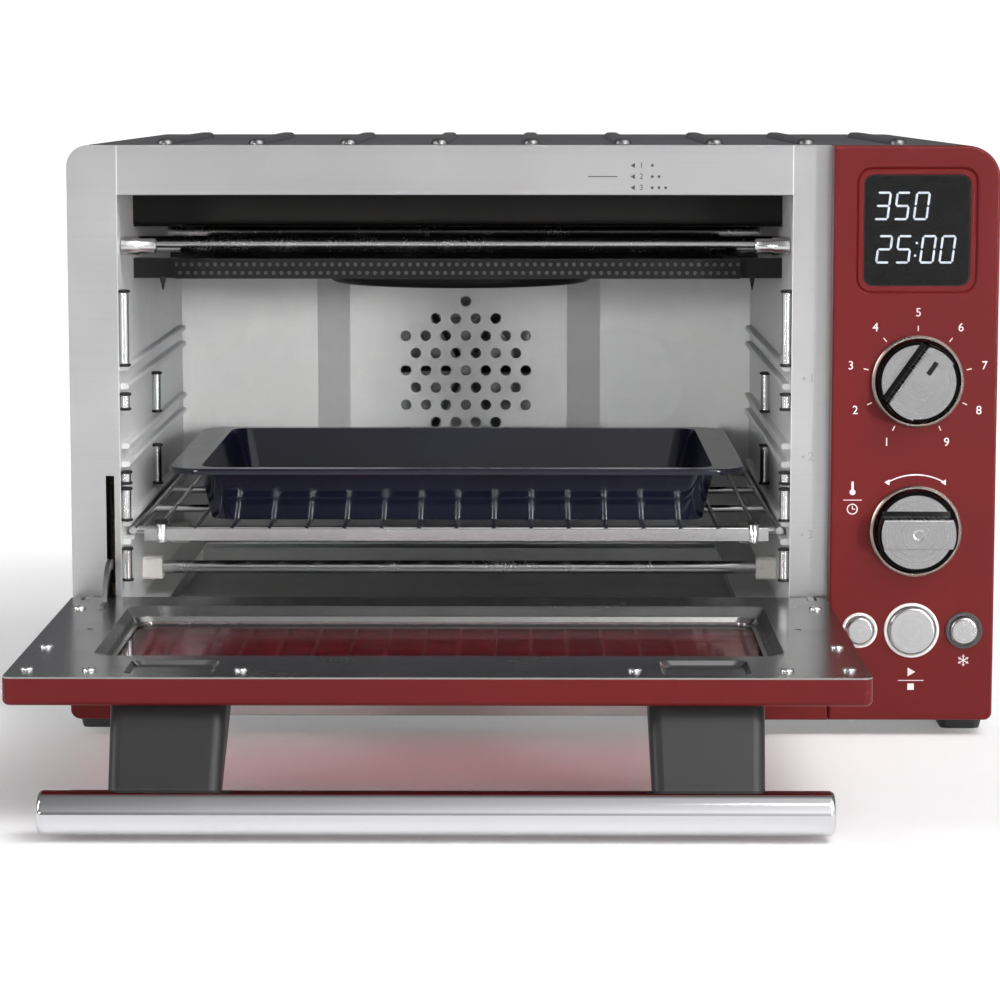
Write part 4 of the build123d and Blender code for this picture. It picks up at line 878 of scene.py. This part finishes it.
SEGMENTS = {
    "0": "abcdef", "1": "bc", "2": "abged", "3": "abgcd", "4": "fgbc", "5": "afgcd", "6": "afgedc",
    "7": "abc", "8": "abcdefg", "9": "abfgcd",
}
SEGMENT_PLACES = {
    "a": (0, 1, 0), "d": (0, -1, 0), "g": (0, 0, 0), "b": (1, 0.5, 1), "c": (1, -0.5, 1),
    "f": (-1, 0.5, 1), "e": (-1, -0.5, 1),
}
SLANT = radians(7)
DIGIT_STEP = 0.74  # one digit to the next, as a share of a digit's height
TOP_ROW, LOW_ROW = 0.72, 0.33  # heights of the two rows, as shares of the lens
TEMPERATURE, TIME = "350", "2500"
TIME_PLACES = (0.1, 1.1, 2.35, 3.35)  # steps from the left, with room for the colon
COLON_PLACE, COLON_RISE = 1.73, 0.24
LIT_THICKNESS = 0.1 * MM


def segment(name, long, thick, depth):
    """One display segment: a bar with pointed ends, lying along X."""
    piece = fresh(bpy.ops.mesh.primitive_plane_add, name, size=1, rotation=(pi / 2, 0, 0),
                  scale=(long - thick, thick, 1))
    settle(piece)
    for end in (-1, 1):
        pick(piece, "EDGE", lambda edge: all(vert.co.x * end > (long - thick) * 0.49 for vert in edge.verts))
        bpy.ops.mesh.extrude_region_move(TRANSFORM_OT_translate={"value": (end * thick / 2, 0, 0)})
        bpy.ops.transform.resize(value=(1, 1, 0.15))
        done()
    pick(piece, "FACE", everything)
    thicken(depth)
    return piece


class OVEN_OT_display_digits(Operator):
    """Adds two rows of slanted seven-segment digits behind the display's lens"""

    bl_idname = "oven.display_digits"
    bl_label = "Display digits"

    def execute(self, context):
        tall = settings().sizes.digit_height
        low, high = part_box("display_lens")
        model = segment("segment", tall * 0.465, tall * 0.085, -LIT_THICKNESS)
        upright = copied(model)
        upright.rotation_euler = (0, pi / 2 + SLANT, 0)
        settle(upright)
        parts = []
        back = high.y - LIT_THICKNESS
        wide = tall * 0.24

        def digit(symbol, x, z):
            for name in SEGMENTS[symbol]:
                across, up, stands = SEGMENT_PLACES[name]
                rise = up * tall / 2
                lean = rise * sin(SLANT)
                parts.append(copied(upright if stands else model, (x + across * wide + lean, back, z + rise)))

        top_row, low_row = (low.z + share * (high.z - low.z) for share in (TOP_ROW, LOW_ROW))
        left = low.x + 9.5 * MM
        step = tall * DIGIT_STEP
        for place, symbol in enumerate(TEMPERATURE):
            digit(symbol, left + place * step, top_row)
        for place, symbol in zip(TIME_PLACES, TIME):
            digit(symbol, left + place * step, low_row)
        for rise in (-COLON_RISE * tall, COLON_RISE * tall):
            at = (left + COLON_PLACE * step + rise * sin(SLANT), back, low_row + rise)
            dot = fresh(bpy.ops.mesh.primitive_circle_add, "dot", vertices=12, radius=0.65 * MM,
                        fill_type="NGON", rotation=(pi / 2, 0, 0), location=at)
            settle(dot)
            pick(dot, "FACE", everything)
            bpy.ops.mesh.extrude_region_move(TRANSFORM_OT_translate={"value": (0, -LIT_THICKNESS, 0)})
            done()
            parts.append(dot)
        bpy.data.objects.remove(model)
        bpy.data.objects.remove(upright)
        dressed(joined(parts, "display_digits"), "chassis", "lit segment")
        return {"FINISHED"}


def number(text, x, z, tall, face, facing=(pi / 2, 0, 0)):
    """A printed number, centred on a point of a front face."""
    ink = settings().sizes.print_thickness
    label = fresh(bpy.ops.object.text_add, "number", location=(x, face - ink, z), rotation=facing)
    label.data.body = text
    label.data.size = tall * 1.38
    label.data.align_x = label.data.align_y = "CENTER"
    label.data.extrude = ink
    label.data.resolution_u = 4
    only(label)
    bpy.ops.object.convert(target="MESH")
    return settle(bpy.context.object)


def ink_shape(points, x, z, radius, face, turn=0.0, squeeze=1.0):
    """A printed triangle, disc or other regular shape, pressed into a thin sheet of ink."""
    ink = settings().sizes.print_thickness
    shape = fresh(bpy.ops.mesh.primitive_circle_add, "ink", vertices=points, radius=radius, fill_type="NGON",
                  rotation=(pi / 2, turn, 0), location=(x, face, z), scale=(1, squeeze, 1))
    settle(shape)
    pick(shape, "FACE", everything)
    thicken(-2 * ink)
    return shape


def ink_line(x, z, long, thick, face, turn=0.0):
    """A printed line with rounded ends, centred on a point and turned about the face's normal."""
    ink = settings().sizes.print_thickness
    line = fresh(bpy.ops.mesh.primitive_plane_add, "line", size=1, rotation=(pi / 2, 0, 0),
                 scale=(long, thick, 1))
    settle(line)
    pick(line, "VERT", everything)
    bpy.ops.mesh.bevel(offset=thick * 0.45, segments=3, affect="VERTICES")
    bpy.ops.mesh.select_all(action="SELECT")
    thicken(-2 * ink)
    line.rotation_euler = (0, turn, 0)
    line.location = (x, face, z)
    return settle(line)


def ink_ring(x, z, radius, thick, face, start=0.0, sweep=2 * pi):
    """A printed ring, or the part of one that starts at an angle and sweeps anticlockwise."""
    ink = settings().sizes.print_thickness
    ring = fresh(bpy.ops.mesh.primitive_circle_add, "ring", vertices=90, radius=radius + thick / 2,
                 fill_type="NGON", rotation=(pi / 2, 0, 0))
    settle(ring)
    pick(ring, "FACE", everything)
    bpy.ops.mesh.inset(thickness=thick)
    bpy.ops.mesh.delete(type="FACE")
    done()
    pick(ring, "FACE", lambda part: (atan2(part.calc_center_median().z, part.calc_center_median().x) - start)
         % (2 * pi) > sweep)
    bpy.ops.mesh.delete(type="FACE")
    bpy.ops.mesh.select_all(action="SELECT")
    thicken(-2 * ink)
    ring.location = (x, face, z)
    return settle(ring)


NUMBER_STEP = 38.5  # degrees from one dial number to the next
TICK_CIRCLE = 26.6 * MM
SYMBOL_DROP = 15.5 * MM  # from a small button's middle down to its symbol


class OVEN_OT_panel_marks(Operator):
    """Prints the numbers, ticks and plain symbols on the control panel"""

    bl_idname = "oven.panel_marks"
    bl_label = "Panel marks"

    def execute(self, context):
        sizes = settings().sizes
        marks = []
        for place in range(sizes.numbers):
            angle = radians(90 + NUMBER_STEP * (sizes.numbers // 2 - place))
            across, up = cos(angle), sin(angle)
            marks += [
                number(str(place + 1), MODE_AT.x + sizes.number_circle * across,
                       MODE_AT.z + sizes.number_circle * up, sizes.number_height, PANEL_FACE),
                ink_line(MODE_AT.x + TICK_CIRCLE * across, MODE_AT.z + TICK_CIRCLE * up, 2.6 * MM, 0.5 * MM,
                         PANEL_FACE, -angle),
            ]
        x, z = SELECT_AT.x, SELECT_AT.z
        marks.append(ink_ring(x, z, sizes.arc_radius, 0.6 * MM, PANEL_FACE, radians(62), radians(56)))
        for angle, turn in ((radians(60), radians(30)), (radians(120), radians(-210))):
            marks.append(ink_shape(3, x + sizes.arc_radius * cos(angle), z + sizes.arc_radius * sin(angle),
                                   1.7 * MM, PANEL_FACE, turn))
        # thermometer above a clock, left of the lower knob
        left = x - 32.0 * MM
        marks += [
            ink_line(left, z + 22.5 * MM, 5.2 * MM, 1.1 * MM, PANEL_FACE, pi / 2),
            ink_shape(16, left, z + 19.6 * MM, 1.5 * MM, PANEL_FACE),
            ink_line(left, z + 15.6 * MM, 9.5 * MM, 0.4 * MM, PANEL_FACE),
            ink_ring(left, z + 11.0 * MM, 2.5 * MM, 0.55 * MM, PANEL_FACE),
            ink_line(left, z + 11.8 * MM, 1.8 * MM, 0.45 * MM, PANEL_FACE, pi / 2),
            ink_line(left + 0.7 * MM, z + 11.0 * MM, 1.5 * MM, 0.45 * MM, PANEL_FACE),
        ]
        # start above stop, below the middle button
        start = middle("start_button")
        below = start.z - 21.5 * MM
        marks += [
            ink_shape(3, start.x - 0.3 * MM, below, 2.6 * MM, PANEL_FACE, pi / 2),
            ink_line(start.x, below - 4.4 * MM, 13.0 * MM, 0.4 * MM, PANEL_FACE),
            ink_shape(4, start.x, below - 7.6 * MM, 2.3 * MM, PANEL_FACE, pi / 4),
        ]
        # fan, below the left button
        button = middle("left_button")
        x, z = button.x, button.z - SYMBOL_DROP
        for blade in range(3):
            angle = radians(90 + 120 * blade)
            marks.append(ink_shape(14, x + 1.5 * MM * cos(angle), z + 1.5 * MM * sin(angle), 1.5 * MM,
                                   PANEL_FACE, -angle, 0.45))
        # snowflake, below the right button
        button = middle("right_button")
        x, z = button.x, button.z - SYMBOL_DROP
        marks += [ink_line(x, z, 6.0 * MM, 0.5 * MM, PANEL_FACE, radians(60 * arm + 90)) for arm in range(3)]
        for arm in range(6):
            angle = radians(60 * arm + 90)
            marks.append(ink_line(x + 2.1 * MM * cos(angle), z + 2.1 * MM * sin(angle), 1.5 * MM, 0.4 * MM,
                                  PANEL_FACE, -angle + pi / 2))
        dressed(joined(marks, "panel_marks"), "chassis", "panel print")
        return {"FINISHED"}


# places of the frame's marks, in millimetres
GUIDE_X, GUIDE_ROW = 51.5, 5.6
RACK_NUMBER_X, RACK_NUMBER_HEIGHTS = 138.6, (182, 142, 102)
NUMBER_GAP = 4  # from an arrow to its number


class OVEN_OT_frame_marks(Operator):
    """Prints the rack guide on the top rail and the rack numbers on the right upright"""

    bl_idname = "oven.frame_marks"
    bl_label = "Frame marks"

    def execute(self, context):
        guide, heights = [], []
        for row in range(3):
            z = RAIL_HIGH.z - (10.2 + GUIDE_ROW * row) * MM
            guide.append(ink_shape(3, GUIDE_X * MM, z, 1.5 * MM, FRAME_FACE, -pi / 2))
            guide.append(number(str(row + 1), (GUIDE_X + NUMBER_GAP) * MM, z, 2.9 * MM, FRAME_FACE))
            for dot in range(row + 1):
                guide.append(ink_shape(12, (61 + 3.4 * dot) * MM, z, 0.75 * MM, FRAME_FACE))
        guide.append(ink_line(36 * MM, RAIL_HIGH.z - 15.8 * MM, 15 * MM, 0.5 * MM, FRAME_FACE))
        for row, z in enumerate(RACK_NUMBER_HEIGHTS):
            heights.append(ink_shape(3, RACK_NUMBER_X * MM, z * MM, 1.2 * MM, FRAME_FACE, -pi / 2))
            heights.append(number(str(row + 1), (RACK_NUMBER_X + NUMBER_GAP) * MM, z * MM, 4.6 * MM,
                                  FRAME_FACE))
        dressed(joined(guide, "rack_guide"), "chassis", "frame print")
        dressed(joined(heights, "rack_numbers"), "chassis", "stile print")
        return {"FINISHED"}


KNOB_LEAN = radians(-35)  # how far the upper knob is turned from upright


class OVEN_OT_knob_marks(Operator):
    """Adds the upper knob's pointer, the lower knob's dimple, each knob's line, and a dark bar in each knob's
    recess that paints its shade
    """

    bl_idname = "oven.knob_marks"
    bl_label = "Knob marks"

    def execute(self, context):
        sizes = settings().sizes
        along = Vector((sin(-KNOB_LEAN), 0, cos(KNOB_LEAN)))
        across = Vector((along.z, 0, -along.x))
        at = Vector((MODE_AT.x, GRIP_FACE, MODE_AT.z))
        pointer = bar("pointer", (-1.3 * MM, -0.12 * MM, -sizes.pointer / 2),
                      (1.3 * MM, 0.35 * MM, sizes.pointer / 2), 0.5 * MM, 3)
        pointer.rotation_euler = (0, -KNOB_LEAN, 0)
        pointer.location = at + along * 9.5 * MM
        dressed(smooth(settle(pointer)), "mode_knob", "black fitting and painted shade")
        select = Vector((SELECT_AT.x, GRIP_FACE, SELECT_AT.z))
        for name, centre, turn, side in (("mode_knob", at, -KNOB_LEAN, across),
                                         ("select_knob", select, pi / 2, Vector((0, 0, -1)))):
            line = bar(name + "_line", (-0.35 * MM, -0.3 * MM, -17.5 * MM), (0.35 * MM, 0.2 * MM, 17.5 * MM),
                       0.12 * MM)
            line.location = centre + side * 8.1 * MM + Vector((0, 10.1 * MM, 0))
            # a black bar in the knob's recess: painted shade
            groove_shade = bar(name + "_groove_shade", (-1.5 * MM, -0.15 * MM, -17.0 * MM),
                         (1.5 * MM, 0.6 * MM, 17.0 * MM), 0.3 * MM)
            groove_shade.location = centre - side * 9.1 * MM + Vector((0, 12.9 * MM, 0))
            for mark in (line, groove_shade):
                mark.rotation_euler = (0, turn, 0)
                dressed(smooth(settle(mark)), name, "black fitting and painted shade")
        dish = lathe("dimple", ((3.1 * MM, 0.02 * MM), (2.9 * MM, 0.3 * MM), (2.5 * MM, 0.22 * MM),
                                (1.6 * MM, 0.02 * MM), (0.5 * MM, -0.02 * MM)),
                     (SELECT_AT.x, GRIP_FACE + 0.15 * MM, SELECT_AT.z), axis="Y", steps=32)
        dressed(smooth(dish, 60), "select_knob", "button metal")
        return {"FINISHED"}


class OVEN_OT_right_button_ring(Operator):
    """Adds the dark ring that covers the pale one around the right-hand button"""

    bl_idname = "oven.right_button_ring"
    bl_label = "Right button ring"

    def execute(self, context):
        at = middle("right_button")
        ring = lathe("right_button_ring", ((7.45 * MM, 0.0), (7.45 * MM, 1.15 * MM), (7.9 * MM, 1.5 * MM),
                                           (9.0 * MM, 1.5 * MM), (9.4 * MM, 1.0 * MM), (9.4 * MM, 0.0)),
                     (at.x, PANEL_FACE, at.z), axis="Y", steps=40)
        pick(ring, "FACE", lambda face: len(face.verts) > 8)
        bpy.ops.mesh.delete(type="FACE")
        done()
        dressed(smooth(ring), "chassis", "dark ring")
        return {"FINISHED"}


# ================= screws =================


class OVEN_OT_screw_recesses(Operator):
    """Adds a dark cross to every screw head on the door and the back, painting the shade of a cross recess"""

    bl_idname = "oven.screw_recesses"
    bl_label = "Screw recess shades"

    def execute(self, context):
        for name, body, axis in (("door_screws", "door", 2), ("case_screws", "chassis", 1)):
            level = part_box(name)[1][axis]
            tops = [vert.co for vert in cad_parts[name].data.vertices
                    if abs(vert.co[axis] - level) < 0.02 * MM]
            found = []
            for spot in tops:
                if all((spot - other).length > 4 * MM for other in found):
                    found.append(spot)
            heads = []
            for first in found:
                near = [spot for spot in tops if (spot - first).length < 8 * MM]
                heads.append(sum(near, Vector()) / len(near))
            # dark crosses in place of a recess: painted shade
            strokes = [bar("cross", (-wide * MM, -high * MM, -0.3 * MM), (wide * MM, high * MM, 0.03 * MM),
                           0.15 * MM) for wide, high in ((1.7, 0.38), (0.38, 1.7))]
            model = joined(strokes, "cross")
            if body == "chassis":
                model.rotation_euler = (-pi / 2, 0, 0)
                settle(model)
            copies = [copied(model, head) for head in heads]
            bpy.data.objects.remove(model)
            dressed(joined(copies, name + "_recesses"), body, "black fitting and painted shade")
        return {"FINISHED"}


# ================= stage =================


FLOOR_RADIUS = 60
FLOOR_FAR_GLOW = 0.7  # how much the floor behind the oven shines by itself
BACKDROP_RADIUS, BACKDROP_HEIGHT = 25, 50
BACKDROP_GLOW = 1.1
# brightness of the room from below to above: place on the ramp and colour
ROOM_BANDS = ((0.10, (0.72, 0.72, 0.72)), (0.24, (0.36, 0.36, 0.37)), (0.42, (0.85, 0.85, 0.86)),
              (1.0, (0.48, 0.48, 0.49)))
ROOM_LEFT, ROOM_RIGHT = 0.45, 2.0  # how much of that brightness each side has
ROOM_BEHIND = (0.16, 0.16, 0.17, 1)  # the half of the room behind the oven
OVEN_MIDDLE, CAVITY_MIDDLE = (0, 0, 0.15), (-0.04, 0.1, 0.17)


def stage_floor(stage):
    """A round pale floor, which shines more behind the oven."""
    floor = fresh(bpy.ops.mesh.primitive_circle_add, "floor", vertices=96, radius=FLOOR_RADIUS,
                  fill_type="NGON")
    w, shader = start_material("floor")
    place = w.place()
    cloud = w.noise(place, 3.0, 4.0)
    shade = w.shades(cloud, rgba(stage.floor, 0.985), rgba(stage.floor, 1.015))
    away = w.add("SeparateXYZ", {0: place}, pick=1)
    feed(w, shader, base_color=shade, roughness=0.6, emission_color=(1, 1, 1, 1),
         emission_strength=w.spread(away, -0.2, 1.2, stage.glow, FLOOR_FAR_GLOW))
    floor.data.materials.append(bpy.data.materials["floor"])


def stage_backdrop():
    """A white wall all round, seen by the camera only and neither lighting nor mirrored in the oven."""
    backdrop = fresh(bpy.ops.mesh.primitive_cylinder_add, "backdrop", vertices=64, radius=BACKDROP_RADIUS,
                     depth=BACKDROP_HEIGHT, end_fill_type="NOTHING")
    w, shader = start_material("backdrop")
    cloud = w.noise(w.place(), 0.2)
    shade = w.blend(cloud, (1, 1, 1, 1), rgba(grey(0.99)))
    feed(w, shader, base_color=shade, roughness=1.0, emission_color=shade, emission_strength=BACKDROP_GLOW)
    backdrop.data.materials.append(bpy.data.materials["backdrop"])
    backdrop.visible_diffuse = backdrop.visible_glossy = backdrop.visible_shadow = False


def stage_room(scene):
    """The surround that lights the oven and shows in its steel: banded in height, dimmer on the left."""
    world = bpy.data.worlds.new("studio")
    scene.world = world
    world.use_nodes = True
    w = Wiring(world.node_tree)
    direction = w.add("TexCoord", pick=0)
    along, depth, height = (w.add("SeparateXYZ", {0: direction}, pick=axis) for axis in range(3))
    ramp = w.add("ValToRGB", {0: w.spread(height, -0.2, 1.0)})
    stops = ramp.node.color_ramp.elements
    stops[0].position, stops[1].position = ROOM_BANDS[0][0], ROOM_BANDS[-1][0]
    for place, _ in ROOM_BANDS[1:-1]:
        stops.new(place)
    for stop, (_, shade) in zip(stops, ROOM_BANDS):
        stop.color = rgba(shade)
    dimmer, brighter = (w.vector("MULTIPLY", ramp, grey(factor)) for factor in (ROOM_LEFT, ROOM_RIGHT))
    room = w.blend(w.spread(along, -0.15, 0.15), dimmer, brighter)
    shown = w.blend(w.spread(depth, 0.0, 0.3), room, ROOM_BEHIND)
    background = w.add("Background", {"Color": shown, "Strength": 1.0})
    w.add("OutputWorld", {"Surface": background})


def stage_light(name, at, aim, power, size, spread=180):
    """A rectangular lamp that faces a point, its beam this many degrees wide."""
    bpy.ops.object.light_add(type="AREA", location=at)
    light = bpy.context.object
    light.name = name
    light.data.energy = power
    light.data.shape = "RECTANGLE"
    light.data.size, light.data.size_y = size
    light.data.spread = radians(spread)
    light.rotation_euler = (Vector(aim) - Vector(at)).to_track_quat("-Z", "Y").to_euler()


class OVEN_OT_stage(Operator):
    """Adds a pale floor, soft lights, a pale surround and the camera"""

    bl_idname = "oven.stage"
    bl_label = "Stage"

    def execute(self, context):
        stage = settings().stage
        stage_floor(stage)
        stage_backdrop()
        stage_room(context.scene)
        stage_light("key", (1.1, -1.3, 1.9), OVEN_MIDDLE, stage.key, (1.6, 1.0))
        stage_light("side", (-1.9, -0.6, 1.0), OVEN_MIDDLE, stage.key * 0.4, (0.5, 1.4))
        stage_light("left fill", (-1.3, -2.0, 0.40), CAVITY_MIDDLE, stage.fill * 0.6, (0.5, 0.3), 14)
        stage_light("right fill", (1.3, -2.0, 0.40), CAVITY_MIDDLE, stage.fill, (0.5, 0.3), 14)
        bpy.ops.object.camera_add(location=stage.place, rotation=(pi / 2 - stage.tilt, 0, stage.turn))
        camera = context.object
        camera.name = "front camera"
        camera.data.lens, camera.data.sensor_width = stage.lens, 36
        camera.data.clip_start, camera.data.clip_end = 0.05, 200
        context.scene.camera = camera
        context.scene.view_settings.view_transform = "Standard"
        return {"FINISHED"}


# ================= add-on =================

PIECE_OPERATORS = (
    OVEN_OT_finishes, OVEN_OT_stage, OVEN_OT_post_collars, OVEN_OT_heater_fittings, OVEN_OT_rack_fittings,
    OVEN_OT_display_digits, OVEN_OT_panel_marks, OVEN_OT_frame_marks, OVEN_OT_knob_marks,
    OVEN_OT_right_button_ring, OVEN_OT_screw_recesses,
)


class OVEN_PT_sidebar(Panel):
    """Lists the oven's operators and settings"""

    bl_idname = "OVEN_PT_sidebar"
    bl_label = "Countertop Oven"
    bl_space_type = "VIEW_3D"
    bl_region_type = "UI"
    bl_category = "Oven"

    def draw(self, context):
        column = self.layout.column(align=True)
        for operator in PIECE_OPERATORS:
            column.operator(operator.bl_idname)
        for group in (context.scene.oven_settings.colours, context.scene.oven_settings.sizes,
                      context.scene.oven_settings.stage):
            box = self.layout.box()
            for name in group.__annotations__:
                box.prop(group, name)


CLASSES = (OvenColours, OvenSizes, OvenStage, OvenSettings, *PIECE_OPERATORS, OVEN_PT_sidebar)


def register():
    for part in CLASSES:
        bpy.utils.register_class(part)
    bpy.types.Scene.oven_settings = PointerProperty(type=OvenSettings)


def unregister():
    del bpy.types.Scene.oven_settings
    for part in reversed(CLASSES):
        bpy.utils.unregister_class(part)


def main():
    """Builds everything in order."""
    register()
    for operator in PIECE_OPERATORS:
        group, name = operator.bl_idname.split(".")
        getattr(getattr(bpy.ops, group), name)()


if __name__ == "__main__":
    main()
